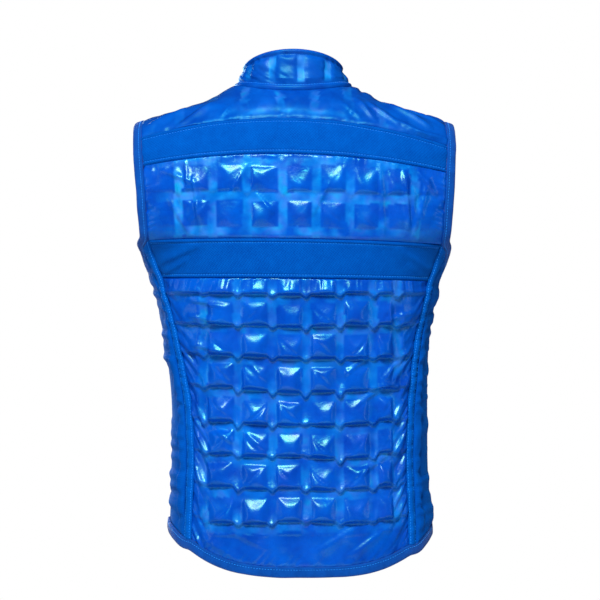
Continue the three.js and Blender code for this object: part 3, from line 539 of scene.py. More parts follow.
def dapple(x, y, seed, pitch):
    """Smooth random hills over an area, from -1 to 1."""
    size = 128
    knots = np.random.default_rng(seed).uniform(-1, 1, (size, size))
    sx, sy = np.asarray(x) / pitch + 40.0, np.asarray(y) / pitch + 40.0
    i, j = np.floor(sx).astype(int), np.floor(sy).astype(int)
    fx, fy = sx - i, sy - j
    fx, fy = fx * fx * (3 - 2 * fx), fy * fy * (3 - 2 * fy)
    top = mix(knots[j % size, i % size], knots[j % size, (i + 1) % size], fx)
    low = mix(knots[(j + 1) % size, i % size], knots[(j + 1) % size, (i + 1) % size], fx)
    return mix(top, low, fy)


def fold(x, drop, start, end, width, rise, lip=0.5):
    """A drag fold from start to end (across, drop): a ridge, steeper on its lower side by the lip."""
    (x0, d0), (x1, d1) = start, end
    length = math.hypot(x1 - x0, d1 - d0)
    ux, ud = (x1 - x0) / length, (d1 - d0) / length
    along = ((x - x0) * ux + (drop - d0) * ud) / length
    across = -(x - x0) * ud + (drop - d0) * ux
    reach = np.where(across > 0, width * (1 - lip * 0.6), width * (1 + lip * 0.6))
    body = np.exp(-((across / reach) ** 2))
    ends = np.clip(np.sin(math.pi * np.clip(along, 0, 1)), 0, 1) ** 0.7
    return rise * body * ends


def roll_off(edge, reach, depth):
    """How much the cloth sinks as it turns into a seam."""
    return -depth * np.exp(-((edge / reach) ** 1.5))


# %% [markdown]
# The quilting is welded, not sewn: flat strips where the two layers are fused, and a pillow in each square
# between them. Full of gel, a pillow hangs: it swells most near its foot and drops steeply to the weld below.
# A pillow of cloth that hardly stretches isn't round but has four faces, like a hipped roof, with creases
# from its corners. It could be a bump in the finish, but the faces catch the light only if they are there.

# %% The weld grid
ROOF_POWER = 5.0
# How much of a pillow its side, head and foot faces take: pillows that hang, and the taut ones between the
# bands.
HANGING = (0.3, 0.38, 0.22)
TAUT = (0.36, 0.42, 0.36)


def weld_cells(t, start, welds, end, half=WELD_WIDTH / 2):
    """For places along a line: how far through its cell each lies, whether in a pillow, and which cell."""
    edges = [start]
    for weld in welds:
        edges += [weld - half, weld + half]
    edges = np.array(edges + [end])
    cell = np.clip(np.searchsorted(edges, t, side="right") - 1, 0, len(edges) - 2)
    share = np.clip((t - edges[cell]) / (edges[cell + 1] - edges[cell]), 0, 1)
    return share, cell % 2 == 0, cell


def pillow_profile(cu, cv, shape=HANGING):
    """Four sloping faces round a flat crown, from 0 at the welds to about 1."""
    side_face, head_face, foot_face = shape
    faces = [cu / side_face, (1 - cu) / side_face, cv / head_face, (1 - cv) / foot_face]
    total = 1 + sum(np.maximum(f, 1e-3) ** -ROOF_POWER for f in faces)
    return total ** (-1 / ROOF_POWER)


def sawtooth(phase, power, back):
    """Rises over most of each step and drops back over its last share."""
    return np.where(phase < 1 - back, (phase / (1 - back)) ** power, (1 - phase) / back)


print("crown of a pillow:", round(float(pillow_profile(0.5, 0.5)), 2))

# %% [markdown]
# A whole quilted panel is one height for each place. No two pillows are alike on the real vest: each is
# filled a little more or less, some lean, some have a crease from corner to corner, and every row of welds
# wanders and sags. Seeded dice give each pillow its own, so the panel looks made and not stamped.

# %% One quilted panel
# How far a weld wanders off its line, and how far apart its bends lie, for columns and for rows.
COLUMN_WANDER, COLUMN_BEND = 1.3, 44.0
ROW_WANDER, ROW_BEND = 2.4, 58.0
# How far a row of welds may step up or down from one pillow to the next.
STEP_DROP = 3.2
# How much lower the overhang ends over a weld column, in a point, and how that varies.
POINT_DROP, POINT_SPREAD, POINT_RISE = 6.5, 0.65, 1.3
# The hang over a pillow and over a weld column: the power it grows with, and the share it drops back over.
PILLOW_TOOTH = (1.15, 0.07)
POINT_TOOTH = (2.6, 0.13)
# How differently the pillows are filled, how much they lean, and how deep a crease is.
FILL_SPREAD, LEAN_SPREAD, CREASE_DEPTH, CREASE_WIDTH = 0.32, 0.5, 0.55, 0.09
# How far down the rows begin to sag in the middle, and over what length that grows.
SAG_DROP, SAG_REACH = 280.0, 110.0
# Over what length the hang grows from the head seam and from the foot seam.
HEAD_CALM, FOOT_CALM = 18.0, 50.0
OUTER_SHARE = 0.35
BEYOND = 400.0


def quilt(grid, columns, rows, rise, hang, margin, sag=(0.0, 0.0), shape=HANGING, painted_sheen=0.42, seed=11):
    """The start shape of a quilted panel, as heights over the form, with the nodes that its welds hold."""
    x, drop = grid["x"] + lean(grid["drop"]), grid["drop"]
    pitch = rows[1] - rows[0]
    wander = COLUMN_WANDER * dapple(x, drop, seed + 1, COLUMN_BEND)
    cu, in_col, col = weld_cells(x + wander, -BEYOND, columns, BEYOND)
    outer_col = (col == 0) | (col == 2 * len(columns))
    # Each row of welds sags in the middle. It lies level under a pillow and steps at the columns.
    between = [(a + b) / 2 for a, b in zip(columns, columns[1:])]
    centres = [columns[0] - pitch / 2, *between, columns[-1] + pitch / 2]
    at_column = np.where(in_col, col / 2, (col - 1) / 2 + cu)
    stepped = np.interp(at_column, np.arange(len(centres)), centres)
    across = np.clip(np.abs(np.where(outer_col, x, stepped)) / np.abs(x).max(), 0, 1)
    droop = np.where(x < 0, sag[0], sag[1]) * across**3 * np.clip((drop - SAG_DROP) / SAG_REACH, 0, 1)
    level = drop + ROW_WANDER * dapple(x, drop, seed, ROW_BEND) + droop
    level = level + STEP_DROP * dapple(at_column + 0.5, (level - rows[0]) / pitch + 0.5, seed + 5, 1.0)
    cv, in_row, row = weld_cells(level, rows[0] - pitch, rows, rows[-1] + pitch)
    # Each pillow has its own fill and its own place for the crown.
    dice = np.random.default_rng(seed + 2).uniform(-1, 1, (3, 64, 64))
    full, slip, slide = dice[:, row % 64, col % 64]
    cu, cv = cu ** (1 + 0.4 * slip), cv ** (1 + 0.3 * slide)
    cu = np.where(outer_col, 0.5, cu)
    crown = pillow_profile(cu, cv, shape)
    # Some pillows also have a crease from corner to corner, or lean to one side.
    diagonal = (cu - 0.5) * np.sign(slip) + (cv - 0.5)
    crease = np.exp(-((diagonal / CREASE_WIDTH) ** 2)) * np.clip(np.abs(slide) - 0.3, 0, 1)
    tilt = LEAN_SPREAD * slip * (cu - 0.5) + LEAN_SPREAD * slide * (cv - 0.5)
    fill = 1 + FILL_SPREAD * full + tilt - CREASE_DEPTH * crease
    height = np.where(in_col & in_row, rise * fill * crown, 0.0)
    # The hang: a row stands out more towards its foot. Over a weld column it drops back later, in a point.
    near = np.max([np.clip(1.3 - np.abs(x - c) / (WELD_WIDTH / 2), 0, 1) for c in columns], axis=0)
    point = POINT_DROP * near * (1 + POINT_SPREAD * dapple(x, drop, seed + 6, 36.0))
    phase = np.mod((level - rows[0] + WELD_WIDTH / 2 - point) / pitch, 1.0)
    tooth = mix(sawtooth(phase, *PILLOW_TOOTH), POINT_RISE * sawtooth(phase, *POINT_TOOTH), near)
    calm = np.clip(np.minimum(grid["head"] / HEAD_CALM, grid["foot"] / FOOT_CALM), 0, 1)
    height = height * np.clip(grid["head"] / 14.0, 0, 1) * np.clip(grid["foot"] / 30.0, 0.15, 1)
    side_calm = np.clip(np.minimum(grid["left"], grid["right"]) / margin, 0, 1)
    height = np.where(outer_col, height * OUTER_SHARE * side_calm, height)
    height = height + hang * tooth * calm * mix(OUTER_SHARE, 1, side_calm)
    # Under the last row of welds the cloth is empty and lies flat down to the hem.
    filled = np.clip((rows[-1] + WELD_WIDTH - level) / 8.0, 0, 1)
    # The welds get a painted sheen, a paler and iridescent colour, less so in the outer columns and beside the
    # seams.
    strength = np.where(outer_col, 0.3, 1.0) * np.clip(side_calm * 1.4 - 0.2, 0, 1) * painted_sheen * filled
    grid["weld"] = np.where(~in_col | ~in_row, 1.0, 0.0) * strength
    if shape is TAUT:
        # A taut pillow also gets the painted sheen on its crown, a little above its middle.
        crown_sheen = np.exp(-((cu - 0.5) ** 2 + (cv - 0.4) ** 2) / 0.05) * (0.3 + 0.3 * full)
        shown = np.where(in_col & in_row & ~outer_col, crown_sheen, 0.0)
        grid["weld"] = np.maximum(grid["weld"], shown)
    welded = (~in_col | ~in_row) & ~outer_col
    return height * filled, welded


# %% [markdown]
# The large panel has seven columns and eight rows of welds. Beside its seams the cloth is pulled into long
# slanting folds, and along the band and the seams it is gathered. The folds are a short table, drawn from how
# the panel hangs, because their places tell where the body pulls at the vest.

# %% The large panel
main_columns = [w * WAIST_HALF + 2.0 for w in MAIN_WELDS]
main_rows = [FIRST_WELD_DROP + k * WELD_PITCH for k in range(WELD_ROWS)]
main_height, main_welded = quilt(main, main_columns, main_rows, 4.8, 4.2, 22.0, sag=(14.0, 8.0))
print("main panel: welded nodes", int(main_welded.sum()), "of", main_welded.size)

# Drag folds of the main panel. Each row: from (across, drop), to (across, drop), half width, rise.
MAIN_FOLDS = [
    ((-104, 398), (-78, 424), 3.5, 2.0),
    ((-62, 350), (-34, 378), 3.5, 2.0),
    ((-66, 440), (-34, 466), 3.5, 2.2),
    ((-104, 436), (-70, 460), 3.5, 2.4),
    ((58, 372), (92, 346), 3.5, 2.2),
    ((56, 402), (60, 380), 3.5, 1.8),
    ((70, 412), (118, 380), 4.0, 2.4),
    ((74, 500), (118, 470), 4.0, 2.2),
    ((-128, 330), (-106, 400), 4.0, 2.2),
    ((-131, 372), (-108, 452), 3.5, 2.8),
    ((-133, 408), (-106, 490), 3.5, 3.0),
    ((-133, 446), (-112, 532), 4.0, 3.0),
    ((140, 330), (118, 392), 4.5, 2.4),
    ((142, 366), (120, 440), 4.0, 3.0),
    ((143, 404), (124, 486), 4.0, 2.8),
    ((144, 446), (126, 530), 4.5, 2.4),
    ((-120, 575), (-70, 602), 5.0, 2.0),
    ((120, 560), (64, 600), 5.0, 2.2),
    ((-96, 560), (-30, 590), 5.0, 1.6),
    ((88, 555), (20, 596), 6.0, 1.6),
    ((-136, 274), (-84, 284), 3.5, 2.8),
    ((-134, 294), (-92, 302), 3.5, 2.8),
    ((-131, 330), (-82, 342), 3.8, 3.2),
    ((150, 328), (108, 376), 3.5, 3.0),
    ((148, 290), (112, 300), 3.6, 2.4),
]
for start, end, width, rise in MAIN_FOLDS:
    main_height += fold(main["x"] + lean(main["drop"]), main["drop"], start, end, width, rise)


def margin_pull(grid, reach, seed, steep):
    """Pulled cloth beside a side seam: folds that leave the seam and run down into the panel."""
    ramp = np.clip(grid["v"] * 2.2, 0.15, 1.0)
    along = grid["drop"] - steep * ramp * reach
    return 2.1 * wave(along, seed + 1, 8.0) * np.exp(-(((reach - 13.0) / 13.0) ** 2))


main_height += margin_pull(main, main["left"], 22, 1.6) + margin_pull(main, main["right"], 25, 1.4)


def near_seam(distance, reach):
    """How much of a gather shows: nothing at the seam itself, most just beside it, and less further on."""
    return np.clip(distance / 1.5, 0, 1) * np.exp(-((distance / reach) ** 2))


def fading(distance, reach):
    """The same for longer gathers, which fade more slowly."""
    return np.exp(-distance / reach) * np.clip(distance / 3.0, 0, 1)


def main_gathers(grid):
    """The smallest gathers: under the band, beside the side seams, above the hem."""
    under_band = wave(grid["x"] + 0.08 * grid["head"], 21, 2.6) + 0.6 * wave(grid["x"], 20, 6.0)
    height = 0.9 * under_band * near_seam(grid["head"], 17.0)
    for reach, seed in ((grid["left"], 22), (grid["right"], 25)):
        height += 0.8 * wave(grid["drop"] - 1.2 * reach, seed, 2.7) * near_seam(reach, 7.0)
        height += 0.9 * wave(grid["drop"] - 1.6 * reach, seed + 2, 5.0) * near_seam(reach, 14.0)
    return height + 0.6 * wave(grid["x"] + 0.8 * grid["drop"], 23, 5.0) * near_seam(grid["foot"], 16.0)


main["detail"] = main_gathers
print("folds of the large panel:", len(MAIN_FOLDS))

# %% [markdown]
# Between the bands the cloth is drawn taut over the back, so the pillows there are low and flat, and the
# painted sheen of the welds is strongest. Towards the arms it is slack and falls in folds.


# %% The panel between the bands
def middle_gathers(grid):
    """The smallest gathers: beside the armholes and under the upper band."""
    reach = np.minimum(grid["left"], grid["right"])
    height = 0.8 * wave(grid["drop"] + 0.3 * reach, 33, 3.2) * near_seam(reach, 14.0)
    return height + 0.5 * wave(grid["x"], 34, 3.0) * near_seam(grid["head"], 9.0)


middle["detail"] = middle_gathers
middle_columns = [w * WAIST_HALF for w in MIDDLE_WELDS]
middle_rows = [103.0, 147.0, 190.0]
# The welds and the crowns here get the strongest painted sheen.
middle_height, middle_welded = quilt(
    middle, middle_columns, middle_rows, 3.1, 1.2, 40.0, shape=TAUT, painted_sheen=0.85, seed=31
)
MIDDLE_FOLDS = [
    ((-128, 118), (-118, 190), 3.6, 3.8),
    ((-150, 108), (-140, 160), 4.3, 3.0),
    ((-168, 112), (-120, 132), 3.6, 2.5),
    ((136, 112), (142, 190), 3.6, 3.8),
    ((168, 118), (150, 188), 4.3, 3.2),
    ((-60, 104), (-84, 150), 2.9, 2.0),
    ((20, 172), (44, 128), 2.9, 1.9),
    ((-26, 168), (-52, 138), 2.9, 2.0),
    ((-160, 146), (-130, 197), 3.2, 2.6),
    ((152, 112), (178, 146), 3.2, 2.6),
    ((106, 98), (110, 198), 2.8, 2.4),
    ((-138, 100), (-134, 140), 3.0, 2.4),
    ((146, 130), (150, 196), 3.0, 3.0),
]
for start, end, width, rise in MIDDLE_FOLDS:
    middle_height += fold(middle["x"], middle["drop"], start, end, width, rise)
arm_reach = np.minimum(middle["left"], middle["right"])
middle_height += 1.6 * wave(middle["drop"], 31, 6.0) * fading(arm_reach, 16.0)
middle_height += 0.9 * wave(middle["x"], 32, 6.0) * fading(middle["head"], 8.0)
print("folds between the bands:", len(MIDDLE_FOLDS))

# %% [markdown]
# The fronts are quilted as the back is, with the same rows, so the welds lie at about the same heights all
# round. They could mirror the back, but their first column of pillows has to start beside the zip.

# %% The quilted fronts
FRONT_RISE, FRONT_HANG, FRONT_MARGIN = 4.6, 3.0, 22.0


def front_quilt(name, sign):
    grid = front[name]["main"]
    welds = [w * WAIST_HALF for w in FRONT_WELDS]
    columns = sorted(sign * w for w in welds)
    height, welded = quilt(grid, columns, main_rows, FRONT_RISE, FRONT_HANG, FRONT_MARGIN, seed=41)
    across = np.abs(grid["x"])
    cu, in_col, _ = weld_cells(across, ZIP_HALF_WIDTH, welds, 140.0)
    cv, in_row, _ = weld_cells(grid["drop"], main_rows[0] - WELD_PITCH, main_rows, main_rows[-1] + WELD_PITCH)
    first = across < welds[0] - WELD_WIDTH / 2
    height = np.where(first & in_row & in_col, FRONT_RISE * pillow_profile(cu, cv), height)
    welded = welded | (first & ~in_row)
    height += 1.2 * wave(grid["x"], 40 + sign, 6.0) * fading(grid["head"], 14.0)
    return height * np.clip((across - ZIP_HALF_WIDTH) / 4.0, 0, 1), welded


print("columns of pillows on each front:", len(FRONT_WELDS) + 1)

# %% [markdown]
# The yoke isn't filled. It lies over the shoulders and creases from the neck down to the arms. Only the ends
# of the weld columns and one flat weld above the band show in it, and they get a painted sheen in its colour.

# %% The yoke
# Each row: from (across, drop), to (across, drop), half width, rise.
YOKE_FOLDS = [
    ((112, 22), (176, 60), 3.0, 4.3),
    ((92, 26), (134, 56), 2.7, 3.5),
    ((132, 24), (194, 56), 2.9, 4.1),
    ((154, 30), (198, 48), 2.5, 3.2),
    ((76, 18), (104, 52), 3.0, 2.7),
    ((142, 62), (196, 74), 2.5, 2.7),
    ((128, 50), (168, 70), 2.4, 2.7),
    ((-100, 24), (-150, 60), 3.4, 3.2),
    ((-136, 30), (-190, 58), 3.1, 3.0),
    ((-92, 46), (-78, 30), 2.9, 2.2),
    ((-112, 52), (-168, 66), 2.5, 2.4),
    ((58, 24), (84, 48), 2.9, 2.2),
    ((-120, 58), (-186, 70), 2.5, 2.2),
]


def shoulder_ripple(grid):
    """Slack cloth along the shoulder seam, more on the right. The yoke and the fronts share it."""
    beside = np.clip((np.abs(grid["x"]) - 78) / 26.0, 0, 1) * np.exp(-grid["head"] / 18.0)
    beside = beside * (0.45 + 0.55 * np.clip(grid["head"] / 5.0, 0, 1))
    return np.where(grid["x"] > 0, 2.8, 1.0) * wave(grid["x"], 53, 9.0) * beside


yoke_height = np.zeros(yoke["x"].shape)
for start, end, width, rise in YOKE_FOLDS:
    yoke_height += fold(yoke["x"], yoke["drop"], start, end, width, rise)
# The quilted line of the yoke, a flat weld above the band, and the faint ends of the weld columns below it.
line_drop = BAND_TOP(yoke["x"]) - 9.0
line_reach = np.clip(1.6 - np.abs(yoke["x"]) / 62.0, 0, 1)
near_line = np.exp(-(((yoke["drop"] - line_drop) / 3.5) ** 2)) * line_reach
yoke_height -= 0.5 * near_line
foot_reach = np.exp(-yoke["foot"] / 7.0) * np.clip(yoke["foot"] / 2.5, 0, 1)
yoke_height += 0.7 * wave(yoke["x"], 51, 5.0) * foot_reach
yoke_height += 0.8 * dapple(yoke["x"], yoke["drop"] * 1.8, 52, 26.0)
yoke_wander = yoke["x"] + 1.5 * dapple(yoke["x"], yoke["drop"], 54, 30.0)
yoke_cell, yoke_in_col, _ = weld_cells(yoke_wander, -400.0, middle_columns, 400.0)
yoke_calm = np.clip(yoke["head"] / 10.0, 0, 1) * np.clip(1.5 - np.abs(yoke["x"]) / 110.0, 0, 1)
yoke_height += 0.9 * np.where(yoke_in_col, pillow_profile(yoke_cell, 0.5), 0.0) * yoke_calm
# The weld columns and the flat weld of the yoke get a painted sheen: a paler, iridescent colour.
yoke["weld"] = np.maximum(np.where(yoke_in_col, 0.0, 0.45), 0.8 * near_line) * yoke_calm
crumple = wave(yoke["x"] + 0.5 * yoke["drop"], 56, 7.0) * wave(yoke["drop"] - 0.3 * yoke["x"], 57, 9.0)
yoke_height += 1.5 * crumple * np.clip(yoke["head"] / 8.0, 0, 1)
# The shoulder seam is shared with the fronts, so at the seam only the shared ripple is left.
yoke_height *= np.clip(yoke["head"] / 6.0, 0, 1)
yoke_height += shoulder_ripple(yoke)
print("folds of the yoke:", len(YOKE_FOLDS))

# %% [markdown]
# The pillows are then blown up as cloth. One object holds the outer layers of all the quilted panels. Its
# welds and seams are pinned, a light pressure fills the squares between them, and the cloth is given a little
# more length than its squares, which makes the crisp pleats at the corners of each pillow. A sculpted bump
# could stand for them, but cloth finds them by itself, and no two squares come out alike. Only the movement
# is kept, with its smallest crumples evened out.


# %% The simulation
WALL = 1.8
SIM_FRAMES = 26
MOST_MOVE = 8.0
# How far an edge of cloth turns down into its seam, and over what length; less at a head that tucks under.
ROLL_DEPTH, ROLL_REACH = 1.7, 2.2
TUCK_DEPTH, TUCK_REACH = 0.5, 7.0


def raised(grid, height):
    """The outer layer: the wall and the height over the form, rolled off at its edges, tucked at its head."""
    rolled = np.minimum.reduce([grid["left"], grid["right"], grid["foot"]])
    sunk = roll_off(rolled, ROLL_REACH, ROLL_DEPTH) - TUCK_DEPTH * np.exp(-grid["head"] / TUCK_REACH)
    return grid["base"] + grid["normal"] * (WALL + height + sunk)[..., None]


def grid_quads(rows, cols, first=0):
    k = np.arange((rows - 1) * (cols - 1))
    j, i = k // (cols - 1), k % (cols - 1)
    a = first + j * cols + i
    return np.stack([a, a + 1, a + 1 + cols, a + cols], 1)


def facing_out(points, normals):
    """Whether the grid's quads turn outwards as they are numbered."""
    r, c = points.shape[0] // 2, points.shape[1] // 2
    across = points[r, c + 1] - points[r, c]
    down = points[r + 1, c] - points[r, c]
    return float(np.dot(np.cross(across, down), normals[r, c])) > 0


def eased(shift):
    """The same movement with its smallest crumples evened out."""
    for axis in (0, 1, 0, 1):
        s = np.moveaxis(shift, axis, 0)
        out = s.copy()
        out[1:-1] = (s[:-2] + 2 * s[1:-1] + s[2:]) / 4
        shift = np.moveaxis(out, 0, axis)
    return shift


def blow_up(layers):
    """Runs one cloth simulation over several outer layers and returns where their nodes end."""
    points, quads, pinned, first = [], [], [], 0
    for grid, height, welded in layers:
        outer = raised(grid, height)
        faces = grid_quads(*grid["x"].shape, first)
        if not facing_out(outer, grid["normal"]):
            faces = faces[:, ::-1]
        held = welded | (grid["edge"] < 2.5)
        points.append(outer.reshape(-1, 3))
        quads.append(faces)
        pinned.append(held.ravel())
        first += grid["x"].size
    points, quads, pinned = np.concatenate(points), np.concatenate(quads), np.concatenate(pinned)
    mesh = bpy.data.meshes.new("quilt_cloth")
    mesh.from_pydata((points * MM).tolist(), [], quads.tolist())
    cloth = bpy.data.objects.new("quilt_cloth", mesh)
    bpy.context.scene.collection.objects.link(cloth)
    pins = cloth.vertex_groups.new(name="welds")
    pins.add(np.nonzero(pinned)[0].tolist(), 1.0, "REPLACE")
    modifier = cloth.modifiers.new("billow", "CLOTH")
    settings = modifier.settings
    settings.vertex_group_mass = "welds"
    settings.pin_stiffness = 1.0
    settings.quality = 5
    settings.mass = 0.15
    settings.air_damping = 2.0
    settings.tension_stiffness = 20.0
    settings.compression_stiffness = 20.0
    settings.shear_stiffness = 6.0
    settings.bending_stiffness = 2.5
    settings.use_pressure = True
    settings.uniform_pressure_force = 1.6
    settings.shrink_min = -0.006
    settings.effector_weights.gravity = 0.25
    modifier.collision_settings.use_collision = False
    scene = bpy.context.scene
    modifier.point_cache.frame_start, modifier.point_cache.frame_end = 1, SIM_FRAMES
    for step in range(1, SIM_FRAMES + 1):
        scene.frame_set(step)
    shown = cloth.evaluated_get(bpy.context.evaluated_depsgraph_get())
    moved = np.empty(len(points) * 3)
    shown.data.vertices.foreach_get("co", moved)
    moved = moved.reshape(-1, 3) / MM
    scene.frame_set(1)
    bpy.data.objects.remove(cloth)
    bpy.data.meshes.remove(mesh)
    shift = moved - points
    length = np.linalg.norm(shift, axis=1, keepdims=True)
    shift = shift * np.minimum(1, MOST_MOVE / np.maximum(length, 1e-9))
    print("cloth moved by", round(float(length.mean()), 2), "mm, at most", round(float(length.max()), 1))
    ends, first = [], 0
    for grid, _, _ in layers:
        size = grid["x"].size
        own = shift[first : first + size].reshape(*grid["x"].shape, 3)
        ends.append(points[first : first + size].reshape(own.shape) + eased(own))
        first += size
    return ends


quilted = {
    "back_main_panel": (main, main_height, main_welded),
    "back_middle_panel": (middle, middle_height, middle_welded),
}
for name, sign in SIDES.items():
    quilted["front_main_panel_" + name] = (front[name]["main"], *front_quilt(name, sign))
blown = blow_up(list(quilted.values()))
blown = dict(zip(quilted, blown))

# %% [markdown]
# Each piece of cloth becomes a closed wall: the fine outer layer, a plain inner layer and a rim that joins
# them. A mesh could also get its wall from a Solidify modifier, but the vest's inner side lies smooth on the
# body and isn't a copy of the outer folds, so the two layers are made apart.


# %% From grids to walls
def finer(points):
    """The same surface with twice the rows and columns, by the four-point rule."""
    for axis in (0, 1):
        p = np.moveaxis(points, axis, 0)
        padded = np.concatenate([2 * p[:1] - p[1:2], p, 2 * p[-1:] - p[-2:-1]])
        between = (9 * (padded[1:-2] + padded[2:-1]) - padded[:-3] - padded[3:]) / 16
        out = np.empty((2 * len(p) - 1, *p.shape[1:]))
        out[::2], out[1::2] = p, between
        points = np.moveaxis(out, 0, axis)
    return points


INNER_STEP = 4
print("inner grid: one node in", INNER_STEP)


def lay_out(mesh, flat):
    """Gives each corner of the mesh its place on the flat cloth, which the finishes follow."""
    layer = mesh.uv_layers.new(name="cloth")
    loops = np.empty(len(mesh.loops), int)
    mesh.loops.foreach_get("vertex_index", loops)
    layer.data.foreach_set("uv", flat[loops].ravel())


def wall_mesh(name, outer, inner, normals, uv, weld):
    """A closed wall from a fine outer grid and a coarser inner grid whose nodes are among the outer ones."""
    rows, cols = outer.shape[:2]
    step = (rows - 1) // (inner.shape[0] - 1)
    inner_rows, inner_cols = inner.shape[:2]
    outer_quads = grid_quads(rows, cols)
    base = rows * cols
    inner_quads = grid_quads(inner_rows, inner_cols, base)[:, ::-1]
    out = facing_out(outer, normals)
    faces = (outer_quads if out else outer_quads[:, ::-1]).tolist()
    faces += (inner_quads if out else inner_quads[:, ::-1]).tolist()

    def rim(outer_line, inner_line, turn):
        for k in range(len(inner_line) - 1):
            low, high = k * step, (k + 1) * step
            face = [inner_line[k], inner_line[k + 1], *outer_line[low : high + 1][::-1]]
            faces.append(face if turn == out else face[::-1])

    index = np.arange(rows * cols).reshape(rows, cols)
    inner_index = base + np.arange(inner_rows * inner_cols).reshape(inner_rows, inner_cols)
    rim(index[0].tolist(), inner_index[0].tolist(), True)
    rim(index[-1].tolist(), inner_index[-1].tolist(), False)
    rim(index[:, 0].tolist(), inner_index[:, 0].tolist(), False)
    rim(index[:, -1].tolist(), inner_index[:, -1].tolist(), True)
    points = np.concatenate([outer.reshape(-1, 3), inner.reshape(-1, 3)]) * MM
    mesh = bpy.data.meshes.new(name)
    mesh.from_pydata(points.tolist(), [], faces)
    flat = np.concatenate([uv.reshape(-1, 2), uv[::step, ::step].reshape(-1, 2)]) * MM
    lay_out(mesh, flat)
    # The weld value goes with the mesh as an attribute: how much painted sheen each place gets.
    painted_sheen = mesh.attributes.new("weld", "FLOAT", "POINT")
    painted_sheen.data.foreach_set("value", np.concatenate([weld.ravel(), weld[::step, ::step].ravel()]))
    mesh.polygons.foreach_set("use_smooth", [True] * len(mesh.polygons))
    mesh.update()
    return mesh


# %% [markdown]
# Every mesh then becomes an object that rides on the part's one body and takes the place of its solid. The
# smallest gathers are added here, on the finest grid, where no simulation has to carry them.


# %% From walls to pieces
def add_piece(name, mesh, nodes, material):
    piece = bpy.data.objects.new(name, mesh)
    bpy.context.scene.collection.objects.link(piece)
    for finish in material if isinstance(material, list) else [material]:
        mesh.materials.append(finish)
    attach(piece, "root")
    if nodes:
        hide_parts(*nodes)
    return piece


surfaces = {}


def cloth_piece(name, grid, outer, material, refine=True):
    """One piece of cloth in its node's place. It keeps its outer surface for the stitches."""
    fine = finer(outer) if refine else outer
    normals = finer(grid["normal"]) if refine else grid["normal"]
    uv = np.stack([grid["left"], grid["head"]], -1)
    uv = finer(uv) if refine else uv
    weld = grid.get("weld", np.zeros(grid["x"].shape))
    weld = np.clip(finer(weld) if refine else weld, 0, 1)
    if "detail" in grid:
        fine_grid = {key: finer(grid[key]) for key in ("x", "drop", "left", "right", "head", "foot")}
        fine = fine + normals * grid["detail"](fine_grid)[..., None]
    step = INNER_STEP * (2 if refine else 1)
    inner = (finer(grid["base"]) if refine else grid["base"])[::step, ::step]
    piece = add_piece(name, wall_mesh(name, fine, inner, normals, uv, weld), [name], material)
    surfaces[name] = (outer, grid)
    return piece


# %% [markdown]
# The finishes come next. Each could be a photograph of cloth, but node textures follow the cloth's own
# directions at any distance and stay seamless. One small helper keeps the nodes of a finish together, so that
# a finish reads as a recipe.


# %% A helper for finishes
def set_socket(shader, name, value):
    if name in shader.inputs:
        shader.inputs[name].default_value = value


class Finish:
    """A small helper that adds nodes to one material and joins them."""

    def __init__(self, name):
        self.material = bpy.data.materials.new(name)
        self.material.use_nodes = True
        self.tree = self.material.node_tree
        self.shader = self.tree.nodes["Principled BSDF"]

    def add(self, kind, **values):
        node = self.tree.nodes.new(kind)
        for key, value in values.items():
            setattr(node, key, value)
        return node

    def join(self, source, target):
        self.tree.links.new(source, target)

    def coordinates(self, scale, uv=True, turn=0.0):
        place = self.add("ShaderNodeTexCoord")
        mapping = self.add("ShaderNodeMapping")
        mapping.inputs["Scale"].default_value = scale
        mapping.inputs["Rotation"].default_value = (0, 0, turn)
        self.join(place.outputs["UV" if uv else "Object"], mapping.inputs["Vector"])
        return mapping.outputs["Vector"]

    def noise(self, vector, scale, detail=3.0, rough=0.5, distortion=0.0):
        node = self.add("ShaderNodeTexNoise")
        node.inputs["Scale"].default_value = scale
        node.inputs["Detail"].default_value = detail
        node.inputs["Roughness"].default_value = rough
        node.inputs["Distortion"].default_value = distortion
        self.join(vector, node.inputs["Vector"])
        return node.outputs["Fac"]

    def ramp(self, factor, stops):
        node = self.add("ShaderNodeValToRGB")
        elements = node.color_ramp.elements
        while len(elements) < len(stops):
            elements.new(0.5)
        for element, (place, color) in zip(elements, stops):
            element.position = place
            element.color = (*color, 1)
        self.join(factor, node.inputs["Fac"])
        return node.outputs["Color"]

    def math(self, operation, a, b):
        node = self.add("ShaderNodeMath", operation=operation)
        for socket, value in zip(node.inputs, (a, b)):
            if isinstance(value, (int, float)):
                socket.default_value = value
            else:
                self.join(value, socket)
        return node.outputs[0]

    def bump(self, height, distance, strength=1.0, under=None):
        node = self.add("ShaderNodeBump")
        node.inputs["Distance"].default_value = distance
        node.inputs["Strength"].default_value = strength
        self.join(height, node.inputs["Height"])
        if under is not None:
            self.join(under, node.inputs["Normal"])
        return node.outputs["Normal"]
